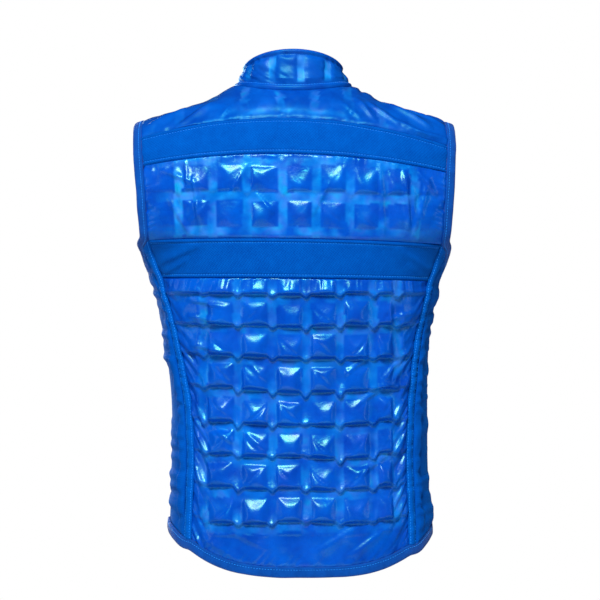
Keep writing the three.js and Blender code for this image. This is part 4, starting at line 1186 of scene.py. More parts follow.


# %% [markdown]
# Coated nylon is a smooth film over a fine weave: deep blue, with sharp bright lights, small creases, and
# a faint shimmer of other colours where the film is thin. The panels carry a value, weld, that tells where two
# layers are fused, and there a painted sheen of paler, iridescent blues is mixed into the colour.


# %% Coated nylon
def coated_nylon(name, deep, bright, painted_sheen, roughness, coat, creases):
    """Glossy film over a fine weave: deep between the welds, with a painted sheen, paler and iridescent, where
    it is fused.
    """
    f = Finish(name)
    room = f.coordinates((1, 1, 1), uv=False)
    tone = f.noise(room, 26.0, 4.0, 0.6)
    cloth_tone = f.ramp(tone, [(0.3, deep), (0.7, bright)])
    weld = f.add("ShaderNodeAttribute", attribute_name="weld").outputs["Fac"]
    sheen_patches = f.add("ShaderNodeMapRange")
    sheen_patches.inputs["From Min"].default_value = 0.36
    sheen_patches.inputs["From Max"].default_value = 0.64
    f.join(f.noise(room, 34.0, 2.0), sheen_patches.inputs["Value"])
    # Painted sheen: where weld is high, paler iridescent colours are mixed into the base colour.
    share = f.math("MULTIPLY", weld, sheen_patches.outputs["Result"])
    sheen_colour = f.ramp(f.noise(room, 40.0, 1.0), painted_sheen)
    blend = f.add("ShaderNodeMix", data_type="RGBA")
    f.join(share, blend.inputs[0])
    f.join(cloth_tone, blend.inputs[6])
    f.join(sheen_colour, blend.inputs[7])
    f.join(blend.outputs[2], f.shader.inputs["Base Color"])
    crease = f.noise(room, 170.0, 4.0, 0.6, 0.6)
    weave = f.noise(f.coordinates((2600, 2600, 1)), 1.0, 1.0)
    creased = f.bump(crease, 0.0009, creases)
    f.join(f.bump(weave, 0.00005, 0.5, creased), f.shader.inputs["Normal"])
    smear = f.noise(room, 55.0, 3.0)
    rough = f.add("ShaderNodeMapRange")
    rough.inputs["To Min"].default_value = roughness - 0.07
    rough.inputs["To Max"].default_value = roughness + 0.08
    f.join(smear, rough.inputs["Value"])
    f.join(rough.outputs["Result"], f.shader.inputs["Roughness"])
    thickness = f.add("ShaderNodeMapRange")
    thickness.inputs["To Min"].default_value = 330.0
    thickness.inputs["To Max"].default_value = 520.0
    f.join(f.noise(room, 38.0, 2.0), thickness.inputs["Value"])
    if "Thin Film Thickness" in f.shader.inputs:
        f.join(thickness.outputs["Result"], f.shader.inputs["Thin Film Thickness"])
        f.shader.inputs["Thin Film IOR"].default_value = 1.38
    set_socket(f.shader, "Specular IOR Level", 0.5 + coat / 2)
    set_socket(f.shader, "Specular Tint", (0.18, 0.75, 1.0, 1.0))
    set_socket(f.shader, "Coat Weight", coat)
    set_socket(f.shader, "Coat Roughness", 0.16)
    set_socket(f.shader, "Coat IOR", 1.4)
    return f.material


# %% [markdown]
# The knit is matte and has a grid of tiny holes. The tape is a close rib, the thread has a twist, and the zip
# is moulded. None of them shines, which is what sets the glossy panels off.


# %% Knit, tape, thread and moulded nylon
def knit(name, deep, bright, pitch, hole_depth):
    """Matte knit: rows of tiny holes, half a stitch apart from row to row."""
    f = Finish(name)
    cells = f.add("ShaderNodeTexVoronoi", feature="F1", distance="EUCLIDEAN")
    cells.inputs["Scale"].default_value = 1.0
    cells.inputs["Randomness"].default_value = 0.18
    f.join(f.coordinates((1000 / pitch, 1000 / pitch, 1), turn=math.radians(45)), cells.inputs["Vector"])
    room = f.coordinates((1, 1, 1), uv=False)
    tone = f.noise(room, 60.0, 5.0, 0.65)
    blend = f.math("MULTIPLY", cells.outputs["Distance"], 1.25)
    mixed = f.math("ADD", f.math("MULTIPLY", blend, 0.6), f.math("MULTIPLY", tone, 0.5))
    f.join(f.ramp(mixed, [(0.28, deep), (0.75, bright)]), f.shader.inputs["Base Color"])
    f.join(f.bump(cells.outputs["Distance"], hole_depth, 0.6), f.shader.inputs["Normal"])
    set_socket(f.shader, "Roughness", 0.8)
    set_socket(f.shader, "Specular IOR Level", 0.12)
    set_socket(f.shader, "Sheen Weight", 0.15)
    set_socket(f.shader, "Sheen Roughness", 0.4)
    set_socket(f.shader, "Sheen Tint", (0.02, 0.4, 1.0, 1.0))
    set_socket(f.shader, "Specular Tint", (0.05, 0.5, 1.0, 1.0))
    return f.material


def ribbed_tape(name, deep, bright):
    """Close ribbed tape: fine ribs across its length, a little paler where it is rubbed."""
    f = Finish(name)
    ribs = f.add("ShaderNodeTexWave", wave_type="BANDS", bands_direction="X")
    ribs.inputs["Scale"].default_value = 1.0
    ribs.inputs["Distortion"].default_value = 0.6
    f.join(f.coordinates((420, 420, 1)), ribs.inputs["Vector"])
    room = f.coordinates((1, 1, 1), uv=False)
    wear = f.noise(room, 90.0, 4.0, 0.7)
    tone = f.math("ADD", f.math("MULTIPLY", ribs.outputs["Fac"], 0.3), f.math("MULTIPLY", wear, 0.7))
    f.join(f.ramp(tone, [(0.3, deep), (0.75, bright)]), f.shader.inputs["Base Color"])
    f.join(f.bump(ribs.outputs["Fac"], 0.00018, 0.6), f.shader.inputs["Normal"])
    set_socket(f.shader, "Roughness", 0.62)
    set_socket(f.shader, "Specular IOR Level", 0.22)
    set_socket(f.shader, "Specular Tint", (0.1, 0.6, 1.0, 1.0))
    set_socket(f.shader, "Sheen Weight", 0.1)
    return f.material


def thread(name, color):
    f = Finish(name)
    room = f.coordinates((1, 1, 1), uv=False)
    twist = f.noise(room, 1500.0, 2.0)
    light = tuple(min(1, c * 1.5 + 0.01) for c in color)
    f.join(f.ramp(twist, [(0.3, color), (0.7, light)]), f.shader.inputs["Base Color"])
    f.join(f.bump(twist, 0.0001, 0.5), f.shader.inputs["Normal"])
    set_socket(f.shader, "Roughness", 0.5)
    set_socket(f.shader, "Specular IOR Level", 0.3)
    return f.material


def moulded(name, color, roughness):
    f = Finish(name)
    room = f.coordinates((1, 1, 1), uv=False)
    grain = f.noise(room, 700.0, 3.0)
    light = tuple(min(1, c * 1.25 + 0.004) for c in color)
    f.join(f.ramp(grain, [(0.35, color), (0.65, light)]), f.shader.inputs["Base Color"])
    f.join(f.bump(grain, 0.00006, 0.4), f.shader.inputs["Normal"])
    set_socket(f.shader, "Roughness", roughness)
    return f.material


# %% [markdown]
# The vest is one blue, but each cloth takes it differently: the film strongest, the knit darker and flat, the
# thread palest. The yoke and the collar are the same film with a duller, smoother face, and a little darker
# colour that is painted shade.

# %% The finishes of the vest
# Each row: where in the painted sheen of the welds, and its colour.
PAINTED_SHEEN_COLOURS = [
    (0.35, (0.001, 0.19, 0.62)),
    (0.5, (0.01, 0.3, 0.8)),
    (0.62, (0.05, 0.25, 0.76)),
    (0.74, (0.005, 0.36, 0.72)),
]
NYLON = coated_nylon(
    "glossy coated nylon",
    deep=(0.0002, 0.046, 0.39),
    bright=(0.0003, 0.098, 0.57),
    painted_sheen=PAINTED_SHEEN_COLOURS,
    roughness=0.28,
    coat=0.26,
    creases=0.45,
)
# The same film, duller and smoother, with its colour a little darker than the glossy film's: painted shade for
# the yoke and the collar.
SATIN_SHADED = coated_nylon(
    "satin coated nylon painted darker",
    deep=(0.0002, 0.043, 0.33),
    bright=(0.0003, 0.095, 0.5),
    painted_sheen=PAINTED_SHEEN_COLOURS,
    roughness=0.44,
    coat=0.02,
    creases=0.25,
)
BAND_KNIT = knit("band knit with tiny holes", (0.0002, 0.048, 0.29), (0.0004, 0.1, 0.46), 2.6, 0.0008)
SIDE_KNIT = knit("soft side knit", (0.0003, 0.055, 0.33), (0.0006, 0.1, 0.48), 1.7, 0.0005)
STRIP_KNIT = knit("strip knit", (0.0003, 0.07, 0.38), (0.0006, 0.12, 0.53), 1.7, 0.0005)
TAPE = ribbed_tape("ribbed edge tape", (0.0006, 0.045, 0.26), (0.002, 0.09, 0.44))
THREAD = thread("blue sewing thread", (0.008, 0.23, 0.82))
TEETH = moulded("zip teeth", (0.002, 0.06, 0.34), 0.35)
SLIDER = moulded("zip slider", (0.003, 0.05, 0.26), 0.3)
print("finishes:", len(bpy.data.materials))

# %% [markdown]
# Now the quilted panels take their places.

# %% Quilted panels
for name, outer in blown.items():
    piece = cloth_piece(name, quilted[name][0], outer, NYLON)
print("quilted panels:", ", ".join(blown))

# %% [markdown]
# The flat pieces are sheets: the yoke and the shoulder fronts in nylon, the bands, strips and sides in knit.


def sheet_piece(name, grid, height, material, refine=True):
    cloth_piece(name, grid, raised(grid, height), material, refine)


STITCH_INSET = 5.0


def stitched_edge(distance):
    """The small ridge and groove that a row of topstitching presses into the edge of the cloth."""
    ridge = 0.8 * np.exp(-(((distance - STITCH_INSET / 2) / 1.6) ** 2))
    groove = -0.8 * np.exp(-(((distance - STITCH_INSET) / 0.9) ** 2))
    return ridge + groove


def band_height(grid, seed):
    height = stitched_edge(grid["head"]) + stitched_edge(grid["foot"])
    height = height + 0.5 * dapple(grid["x"], grid["drop"], seed, 30.0)
    reach = np.minimum(grid["left"], grid["right"])
    height = height + 0.8 * wave(grid["drop"], seed + 1, 9.0) * np.exp(-reach / 16.0)
    return height


sheet_piece("back_yoke", yoke, yoke_height, SATIN_SHADED)
sheet_piece("back_upper_band", upper_band, band_height(upper_band, 61), BAND_KNIT, False)

# Each row: from (across, drop), to (across, drop), half width, rise.
LOWER_FOLDS = [
    ((-178, 232), (-120, 206), 6.0, 2.8),
    ((-168, 244), (-132, 222), 4.5, 2.0),
    ((172, 240), (126, 208), 6.0, 2.8),
    ((160, 246), (140, 228), 4.5, 1.8),
]
lower_height = band_height(lower_band, 64)
for start, end, width, rise in LOWER_FOLDS:
    lower_height += fold(lower_band["x"], lower_band["drop"], start, end, width, rise)
sheet_piece("back_lower_band", lower_band, lower_height, BAND_KNIT, False)

# %% [markdown]
# The strips are stuffed by their own seam allowances, so they stand up as a soft ridge between two rows of
# stitches. The sides are gathered into them: ripples run round the body, and a puffed pleat with a scalloped
# edge stands beside each strip. Stretch knit does this where it is sewn to cloth that doesn't stretch.

# %% The fronts, the strips and the sides
STRIP_RISE, STRIP_SWELL, STRIP_GROOVE = 1.2, 1.2, 0.8
STRIP_STITCH_INSET = 2.2
PLEAT_WIDTH, PLEAT_RISE = 13.0, 3.0
RIPPLE_RISE, BROAD_RISE = 1.9, 3.4
SIDE_RISE = 0.8


def front_upper_height(grid, sign):
    height = dapple(grid["x"], grid["drop"], 70 + sign, 34.0)
    height += 1.2 * wave(grid["x"], 72 + sign, 8.0) * near_seam(grid["foot"], 13.0)
    height += 1.2 * wave(grid["drop"], 74 + sign, 8.0) * near_seam(grid["right"], 18.0)
    return height * np.clip(grid["head"] / 10.0, 0, 1) + shoulder_ripple(grid)


def strip_height(grid):
    near = np.minimum(grid["left"], grid["right"])
    height = STRIP_RISE + STRIP_SWELL * np.sin(np.clip(near / (STRIP_WIDTH / 2), 0, 1) * math.pi / 2)
    height -= STRIP_GROOVE * np.exp(-(((near - STRIP_STITCH_INSET) / 0.8) ** 2))
    return height + 0.7 * wave(grid["drop"] + 0.4 * grid["left"], 80, 4.0)


def side_height(grid, sign):
    ripple = wave(grid["drop"] + 6 * wave(grid["left"], 90 + sign, 30.0), 91 + sign, 7.5)
    broad = wave(grid["drop"] + 0.15 * grid["left"], 93 + sign, 17.0)
    near = np.minimum(grid["left"], grid["right"])
    inside = (1 - np.exp(-near / 9.0)) * np.clip(grid["head"] / 20.0, 0, 1)
    height = SIDE_RISE + (RIPPLE_RISE * ripple + BROAD_RISE * broad) * inside
    height += 1.6 * wave(grid["drop"], 95 + sign, 6.5) * np.exp(-near / 14.0) * np.clip(near / 2.0, 0, 1)
    # The pleat's edge is scalloped, and the cloth beyond it lies deeper.
    pleat_edge = PLEAT_WIDTH + 3.5 * wave(grid["drop"], 97 + sign, 11.0)
    pleat = PLEAT_RISE * np.clip((pleat_edge - near) / 3.0, -1, 1)
    return height + pleat * np.clip((grid["head"] - 70.0) / 60.0, 0, 1) * np.clip(grid["foot"] / 50.0, 0, 1)


for name, sign in SIDES.items():
    upper, band = front[name]["upper"], front[name]["band"]
    sheet_piece("front_upper_panel_" + name, upper, front_upper_height(upper, sign), NYLON)
    sheet_piece("front_band_" + name, band, band_height(band, 76 + sign), BAND_KNIT, False)
    for place, strip in strips[name].items():
        sheet_piece(f"{place}_seam_strip_{name}", strip, strip_height(strip), STRIP_KNIT)
    sheet_piece("side_panel_" + name, side[name], side_height(side[name], sign), SIDE_KNIT)

# %% [markdown]
# The bindings are folded tape, swept along the armholes and the hem. The path is the panels' own edge, so the
# tape meets them all the way. A curve with a bevel would do for a cord, but tape has a front and a back, so
# its section is drawn and carried along the edge.


# %% Bindings
def even_path(points, normals, pitch, closed):
    """The same path with evenly spaced places."""
    if closed:
        points, normals = np.concatenate([points, points[:1]]), np.concatenate([normals, normals[:1]])
    length = np.concatenate([[0], np.cumsum(np.linalg.norm(np.diff(points, axis=0), axis=1))])
    keep = np.concatenate([[True], np.diff(length) > 1e-6])
    points, normals, length = points[keep], normals[keep], length[keep]
    count = max(2, int(round(length[-1] / pitch)) + 1)
    at = np.linspace(0, length[-1], count)
    if closed:
        at = at[:-1]
    even = np.stack([np.interp(at, length, points[:, k]) for k in range(3)], 1)
    out = np.stack([np.interp(at, length, normals[:, k]) for k in range(3)], 1)
    out /= np.linalg.norm(out, axis=1, keepdims=True)
    return even, out, at


def soften(values, times, closed):
    """Evens a row of places by the mean of neighbours, with its ends kept."""
    for _ in range(times):
        before, after = np.roll(values, 1, axis=0), np.roll(values, -1, axis=0)
        smooth = (before + 2 * values + after) / 4
        if not closed:
            smooth[0], smooth[-1] = values[0], values[-1]
        values = smooth
    return values


def tape_section(width):
    """How far beyond the edge, and how high, each place round the folded tape lies."""
    over = [(-1.6, 0.2), (-0.8, 2.3), (1.2, 2.75), (2.4, 2.35), (4.2, 2.9), (0.62 * width, 3.1)]
    turn = [(width - 1.6, 2.9), (width - 0.3, 2.2), (width + 0.3, 1.3), (width - 0.2, 0.4)]
    under = [(width - 1.5, 0.0), (0.4 * width, -0.1)]
    return np.array(over + turn + under)


def tape_along(name, points, normals, width, side_sign, closed, seed):
    """Folded tape beyond an edge: rounded at the fold, pressed in at its stitch line, a little puckered."""
    path, out, at = even_path(points, normals, 3.0, closed)
    path, out = soften(path, 6, closed), soften(out, 10, closed)
    out /= np.linalg.norm(out, axis=1, keepdims=True)
    if closed:
        along = np.roll(path, -1, axis=0) - np.roll(path, 1, axis=0)
    else:
        along = np.gradient(path, axis=0)
    beyond = np.cross(along, out)
    beyond *= side_sign / np.linalg.norm(beyond, axis=1, keepdims=True)
    section = tape_section(width)
    pucker = 0.22 * wave(at, seed, 6.0) + 0.3 * wave(at, seed + 1, 17.0)
    lift = section[None, :, 1] + pucker[:, None] * np.clip(section[None, :, 1] / 3.0, 0, 1)
    wander = 0.35 * wave(at, seed + 2, 21.0)
    reach = section[None, :, 0] + wander[:, None] * np.clip(section[None, :, 0] / width, 0, 1)
    points3 = path[:, None, :] + beyond[:, None, :] * reach[..., None] + out[:, None, :] * lift[..., None]
    rows, cols = points3.shape[:2]
    index = np.arange(rows * cols).reshape(rows, cols)
    nxt = np.roll(index, -1, axis=0) if closed else index[1:]
    cur = index if closed else index[:-1]
    quads = np.stack([cur, np.roll(cur, -1, axis=1), np.roll(nxt, -1, axis=1), nxt], -1)
    faces = quads.reshape(-1, 4).tolist()
    if not closed:
        faces += [index[0].tolist()[::-1], index[-1].tolist()]
    mesh = bpy.data.meshes.new(name)
    mesh.from_pydata((points3.reshape(-1, 3) * MM).tolist(), [], faces)
    round_section = np.concatenate([[0], np.cumsum(np.linalg.norm(np.diff(section, axis=0), axis=1))])
    flat = np.stack(np.broadcast_arrays(at[:, None], round_section[None, :]), -1).reshape(-1, 2) * MM
    lay_out(mesh, flat)
    mesh.polygons.foreach_set("use_smooth", [True] * len(mesh.polygons))
    make_outward(mesh)
    stitch_line = path + beyond * 2.4 + out * (2.5 + pucker[:, None])
    return mesh, (stitch_line, out)


def make_outward(mesh):
    """Turns the faces of a closed mesh outwards."""
    work = bmesh.new()
    work.from_mesh(mesh)
    bmesh.ops.recalc_face_normals(work, faces=work.faces)
    work.to_mesh(mesh)
    work.free()
    mesh.update()


edge_lines = []
for name, sign in SIDES.items():
    pick = -1 if sign > 0 else 0
    parts = [(g["base"][:, pick], g["normal"][:, pick]) for g in (yoke, upper_band, middle)]
    parts.append((side[name]["base"][0], side[name]["normal"][0]))
    upper = front[name]["upper"]
    parts.append((upper["base"][::-1, -1], upper["normal"][::-1, -1]))
    points = np.concatenate([p for p, _ in parts])
    normals = np.concatenate([n for _, n in parts])
    piece = "armhole_binding_" + name
    mesh, line = tape_along(piece, points, normals, BINDING_WIDTH, -sign, True, 100 + sign)
    add_piece(piece, mesh, [piece], TAPE)
    edge_lines.append(line)

hem_parts = [(front["right"]["main"], False), (strips["right"]["front"], False), (side["right"], True)]
hem_parts += [(strips["right"]["back"], True), (main, True), (strips["left"]["back"], False)]
hem_parts += [(side["left"], False), (strips["left"]["front"], True), (front["left"]["main"], True)]
hem_points = np.concatenate([g["base"][-1, ::-1] if flip else g["base"][-1] for g, flip in hem_parts])
hem_normals = np.concatenate([g["normal"][-1, ::-1] if flip else g["normal"][-1] for g, flip in hem_parts])
mesh, line = tape_along("hem_binding", hem_points, hem_normals, HEM_WIDTH, -1, False, 110)
add_piece("hem_binding", mesh, ["hem_binding"], TAPE)
edge_lines.append(line)
print("hem binding:", round(float(np.linalg.norm(np.diff(line[0], axis=0), axis=1).sum())), "mm long")

# %% [markdown]
# The collar is one stand-up band, welded into upright channels, with a rolled edge at its top and a rolled
# seam at its foot. Its foot follows the neck seam of the yoke and the fronts exactly, and its top is a curve
# of its own that leans in to the neck.

# %% Collar
COLLAR_HALF_WIDTH, COLLAR_BACK_REACH, COLLAR_FRONT_REACH = 61.0, 52.0, 66.0
COLLAR_BACK_TOP, COLLAR_SIDE_TOP, COLLAR_FRONT_TOP, COLLAR_WALL = 45.0, 27.0, 4.0, 3.0
# The channels' pitch, and how far the first weld lies from the middle of the back.
COLLAR_CHANNEL, CHANNEL_SHIFT = 36.0, 26.0
COLLAR_STITCH_RISE = 7.2


def collar_top(turn):
    back_share, front_share = np.maximum(0, np.cos(turn)), np.maximum(0, -np.cos(turn))
    reach = np.where(np.cos(turn) > 0, COLLAR_BACK_REACH, COLLAR_FRONT_REACH)
    height = COLLAR_SIDE_TOP + (COLLAR_BACK_TOP - COLLAR_SIDE_TOP) * back_share**1.3
    height = height + (COLLAR_FRONT_TOP - COLLAR_SIDE_TOP) * front_share**1.3
    out = np.stack([np.sin(turn), -np.cos(turn), 0.15 + 0 * turn], -1)
    out /= np.linalg.norm(out, axis=-1, keepdims=True)
    at = np.stack([COLLAR_HALF_WIDTH * np.sin(turn) + lean(0.0), -reach * np.cos(turn), height], -1)
    return at, out


def collar_line(foot, top, up):
    """Places from the neck seam to the collar's top: it draws in above the seam and then stands up."""
    flat = mix(foot, top, 1 - (1 - up) ** 1.9)
    flat[..., 2] = mix(foot, top, up)[..., 2]
    return flat


def collar_grid(rows=49, cols=241):
    points, normals = [], []
    for grid, flip in ((front["right"]["upper"], False), (yoke, True), (front["left"]["upper"], True)):
        inside = np.abs(grid["u"][0]) < NECK_SHARE + 0.003
        p, n = grid["base"][0][inside], grid["normal"][0][inside]
        points.append(p[::-1] if flip else p)
        normals.append(n[::-1] if flip else n)
    points, normals = np.concatenate(points), np.concatenate(normals)
    foot, foot_out, _ = even_path(points, normals, 500.0 / (cols - 1), False)
    pick = np.linspace(0, len(foot) - 1, cols)
    foot = np.stack([np.interp(pick, np.arange(len(foot)), foot[:, k]) for k in range(3)], 1)
    foot_out = np.stack([np.interp(pick, np.arange(len(foot_out)), foot_out[:, k]) for k in range(3)], 1)
    foot, foot_out = soften(foot, 8, False), soften(foot_out, 20, False)
    drop = -foot[:, 2]
    reach = np.where(foot[:, 1] > 0, NECK_FRONT_REACH, NECK_BACK_REACH)
    turn = np.arctan2((foot[:, 0] - lean(drop)) / NECK_HALF_WIDTH, -foot[:, 1] / reach)
    first = math.asin(ZIP_HALF_WIDTH / COLLAR_HALF_WIDTH)
    turn = np.clip(turn, first - math.pi, math.pi - first)
    turn = soften(turn, 10, False)
    top, top_out = collar_top(turn)
    up = np.linspace(0, 1, rows)[:, None, None]
    base = collar_line(foot[None], top[None], up)
    normal = mix(foot_out[None], top_out[None], np.minimum(1, 2.5 * up))
    normal /= np.linalg.norm(normal, axis=-1, keepdims=True)
    return borders({"x": base[..., 0], "drop": -base[..., 2], "base": base, "normal": normal})


collar = collar_grid()
around = collar["left"]
rise_up = collar["head"]
top_gap = collar["foot"]
from_back = around[:, -1:] / 2 - around
wander = 1.2 * dapple(around, rise_up, 120, 30.0)
channel_at = np.mod(from_back + CHANNEL_SHIFT + COLLAR_CHANNEL / 2 + wander, COLLAR_CHANNEL)
channel = np.abs(channel_at - COLLAR_CHANNEL / 2)
fade = np.clip((rise_up - 9) / 6.0, 0, 1) * np.clip((top_gap - 7) / 5.0, 0, 1)
# The channel welds get a painted sheen: a paler, iridescent colour.
collar["weld"] = np.clip((5.5 - channel) / 1.5, 0, 1) * fade
collar_height = 2.0 * (1 - np.exp(-((np.maximum(channel - 3.0, 0) / 4.0) ** 2))) * fade
collar_height += 0.8 * fade * dapple(around, rise_up * 1.6, 121, 13.0)
collar_height += 0.9 * fade * wave(around + 3 * wave(rise_up, 124, 9.0), 125, 6.0) * np.exp(-rise_up / 30.0)
collar_height += 1.0 * wave(around, 122, 5.0) * np.exp(-((top_gap - 8) / 4.0) ** 2)
collar_height += 0.7 * wave(around, 123, 7.0) * np.exp(-((rise_up - 11) / 5.0) ** 2)
# Rolled seam and stitch groove at the foot, rolled edge and groove at the top.
collar_height += 0.9 * np.exp(-((rise_up - 3.2) / 2.4) ** 2)
collar_height -= 0.8 * np.exp(-((rise_up - COLLAR_STITCH_RISE) / 1.2) ** 2)
collar_height += 1.6 * np.exp(-((top_gap - 2.6) / 2.6) ** 2) - 0.7 * np.exp(-((top_gap - 7.0) / 1.3) ** 2)
sunk = roll_off(collar["edge"], 1.4, 0.9)
collar_outer = collar["base"] + collar["normal"] * (COLLAR_WALL - 0.6 + collar_height + sunk)[..., None]
collar_piece = cloth_piece("collar", collar, collar_outer, SATIN_SHADED, False)
print("collar:", round(float(around[0, -1])), "mm round its foot")

# %% [markdown]
# Stitches are small but they tell where two cloths meet, so each one is a little loaf of thread lying on the
# cloth. They are made as one joined mesh per line of work: thousands of separate objects would be slow.


# %% Stitches
# The corners of one stitch, as shares of its length, width and height, and the faces of any such block.
STITCH_FOOT = [(-0.5, -0.5, 0), (0.5, -0.5, 0), (0.5, 0.5, 0), (-0.5, 0.5, 0)]
STITCH_TOP = [(-0.3, -0.25, 1), (0.3, -0.25, 1), (0.3, 0.25, 1), (-0.3, 0.25, 1)]
BLOCK_FACES = [(3, 2, 1, 0), (4, 5, 6, 7), (0, 1, 5, 4), (1, 2, 6, 5), (2, 3, 7, 6), (3, 0, 4, 7)]
STITCH_SINK = 0.12


def stitch_mesh(name, lines, pitch=3.6, length=2.1, width=0.8, height=0.55):
    """One mesh of stitches along several lines. Each line: places, directions out."""
    points, faces = [], []
    for path, out in lines:
        length_now = np.concatenate([[0], np.cumsum(np.linalg.norm(np.diff(path, axis=0), axis=1))])
        count = int(length_now[-1] / pitch)
        marks = (np.arange(count) + 0.5) * pitch
        centre = np.stack([np.interp(marks, length_now, path[:, k]) for k in range(3)], 1)
        ahead = np.stack([np.interp(marks + 0.5, length_now, path[:, k]) for k in range(3)], 1)
        up = np.stack([np.interp(marks, length_now, out[:, k]) for k in range(3)], 1)
        up /= np.linalg.norm(up, axis=1, keepdims=True)
        along = ahead - centre
        along /= np.maximum(np.linalg.norm(along, axis=1, keepdims=True), 1e-9)
        across = np.cross(up, along)
        corners = []
        for a, c, u in STITCH_FOOT + STITCH_TOP:
            foot = centre + along * (a * length) + across * (c * width)
            corners.append(foot + up * (u * height - STITCH_SINK))
        block = np.stack(corners, 1)
        first = sum(len(p) for p in points)
        points.append(block.reshape(-1, 3))
        faces.append((first + 8 * np.arange(count)[:, None, None] + np.array(BLOCK_FACES)).reshape(-1, 4))
    points, faces = np.concatenate(points) * MM, np.concatenate(faces)
    mesh = bpy.data.meshes.new(name)
    mesh.from_pydata(points.tolist(), [], faces.tolist())
    mesh.update()
    print(name, "stitches:", len(faces) // 6)
    return mesh


def line_on(name, border, inset):
    """A stitch line on a piece of cloth, a set distance in from one of its borders."""
    outer, grid = surfaces[name]
    reach = grid[border]
    by_row = border in ("left", "right")
    points, normals = [], []
    count = reach.shape[0] if by_row else reach.shape[1]
    for k in range(count):
        line = reach[k] if by_row else reach[:, k]
        place = outer[k] if by_row else outer[:, k]
        out = grid["normal"][k] if by_row else grid["normal"][:, k]
        order = np.argsort(line)
        points.append([np.interp(inset, line[order], place[order, c]) for c in range(3)])
        normals.append([np.interp(inset, line[order], out[order, c]) for c in range(3)])
    points, normals = np.array(points), np.array(normals)
    return points, normals


seam_lines = {"band_topstitch": [], "strip_topstitch": [], "edge_topstitch": edge_lines}
for name in ("back_upper_band", "back_lower_band", "front_band_right", "front_band_left"):
    seam_lines["band_topstitch"] += [line_on(name, "head", STITCH_INSET), line_on(name, "foot", STITCH_INSET)]
for name in SIDES:
    for place in ("back", "front"):
        piece = f"{place}_seam_strip_{name}"
        for border in ("left", "right"):
            seam_lines["strip_topstitch"].append(line_on(piece, border, STRIP_STITCH_INSET))
edge_lines.append(line_on("collar", "head", COLLAR_STITCH_RISE))
for name, lines in seam_lines.items():
    add_piece(name, stitch_mesh(name, lines), [], THREAD)

# %% [markdown]
# The zip isn't seen in the photograph, so it is a plain moulded one: a tape on each side, two rows of teeth
# that mesh, and a slider with a pull at the top of the collar. All of it is one piece, closed.


# %% Zip
def box_points(centre, axes, sizes, taper=1.0):
    """The eight corners of a small block, narrower at its far end by the taper."""
    across, along, out = axes
    corners = []
    for u in (0, 1):
        pinch = taper if u else 1.0
        for a, b in ((-1, -1), (1, -1), (1, 1), (-1, 1)):
            place = centre + across * (a * sizes[0] / 2 * pinch) + along * (b * sizes[1] / 2 * pinch)
            corners.append(place + out * (u * sizes[2]))
    return corners


def zip_mesh():
    neck_drop = float(-front["right"]["upper"]["base"][0, 0, 2])
    foot_drop = float(hem_seam(FRONT, 0.0)(np.array(0.0))) - 1
    drops = np.linspace(foot_drop, neck_drop, 240)
    path = np.stack([lean(drops), depth_at(0 * drops, drops, FRONT), -drops], -1)
    top, _ = collar_top(np.array([math.pi]))
    ups = np.linspace(0, 0.98, 30)[1:, None]
    collar_part = collar_line(path[-1], top[0], ups)
    path = soften(np.concatenate([path, collar_part]), 3, False)
    along = np.gradient(path, axis=0)
    along /= np.linalg.norm(along, axis=1, keepdims=True)
    out = np.stack([0 * along[:, 0], along[:, 2], -along[:, 1]], 1)
    out /= np.linalg.norm(out, axis=1, keepdims=True)
    across = np.cross(along, out)
    points, faces, slots = [], [], []

    def add(block, block_faces, slot):
        first = len(points)
        points.extend(block)
        faces.extend([tuple(first + k for k in f) for f in block_faces])
        slots.extend([slot] * len(block_faces))

    half, wall = ZIP_HALF_WIDTH + 0.4, 1.1
    section = [(-half, 0.1), (half, 0.1), (half, wall), (3.4, wall)]
    section += [(2.6, wall + 0.3), (-2.6, wall + 0.3), (-3.4, wall), (-half, wall)]
    rings = [[p + a * u + o * h for u, h in section] for p, a, o in zip(path, across, out)]
    count = len(section)
    tape_faces = []
    for j in range(len(rings) - 1):
        for i in range(count):
            n = (i + 1) % count
            tape_faces.append((j * count + i, j * count + n, (j + 1) * count + n, (j + 1) * count + i))
    tape_faces += [tuple(range(count))[::-1], tuple((len(rings) - 1) * count + i for i in range(count))]
    add([p for ring in rings for p in ring], tape_faces, 0)
    length = np.concatenate([[0], np.cumsum(np.linalg.norm(np.diff(path, axis=0), axis=1))])
    tooth_pitch = 2.4
    marks = np.arange(tooth_pitch, length[-1] - 6, tooth_pitch)
    for k, mark in enumerate(marks):
        i = int(np.searchsorted(length, mark)) - 1
        t = (mark - length[i]) / (length[i + 1] - length[i])
        centre = mix(path[i], path[i + 1], t)
        shift = 0.9 if k % 2 else -0.9
        axes = (across[i], along[i], out[i])
        root = centre + across[i] * shift + out[i] * (wall + 0.2)
        add(box_points(root, axes, (3.2, 1.5, 1.3), 0.8), BLOCK_FACES, 1)
    seat = int(np.searchsorted(length, length[-1] - 14))
    axes = (across[seat], along[seat], out[seat])
    base = path[seat] + out[seat] * (wall + 0.6)
    add(box_points(base, axes, (8.6, 12.0, 2.6), 0.86), BLOCK_FACES, 2)
    add(box_points(base + out[seat] * 2.5, axes, (3.0, 7.0, 1.6), 0.9), BLOCK_FACES, 2)
    pull = base + out[seat] * 3.6 - along[seat] * 12.0
    add(box_points(pull, axes, (5.0, 24.0, 1.4), 0.9), BLOCK_FACES, 2)
    mesh = bpy.data.meshes.new("front_zip")
    mesh.from_pydata((np.array(points) * MM).tolist(), [], faces)
    mesh.polygons.foreach_set("material_index", slots)
    lay_out(mesh, np.array([[p[0], p[2]] for p in points]) * MM)
    mesh.update()
    make_outward(mesh)
    print("zip teeth:", len(marks))
    return mesh


zip_piece = add_piece("front_zip", zip_mesh(), ["front_zip"], [TAPE, TEETH, SLIDER])
bevel = zip_piece.modifiers.new("soft edges", "BEVEL")
bevel.width = 0.0002
bevel.segments = 1
bevel.limit_method = "ANGLE"

# %% [markdown]
# The studio is plain: a pale floor well below the vest, which hangs at the height of a wearer's shoulders, a
# pale room, and soft boxes above and beside the camera. The boxes are what draws the bright shapes on the
# pillows: their lights come back from every facet that leans up or out.

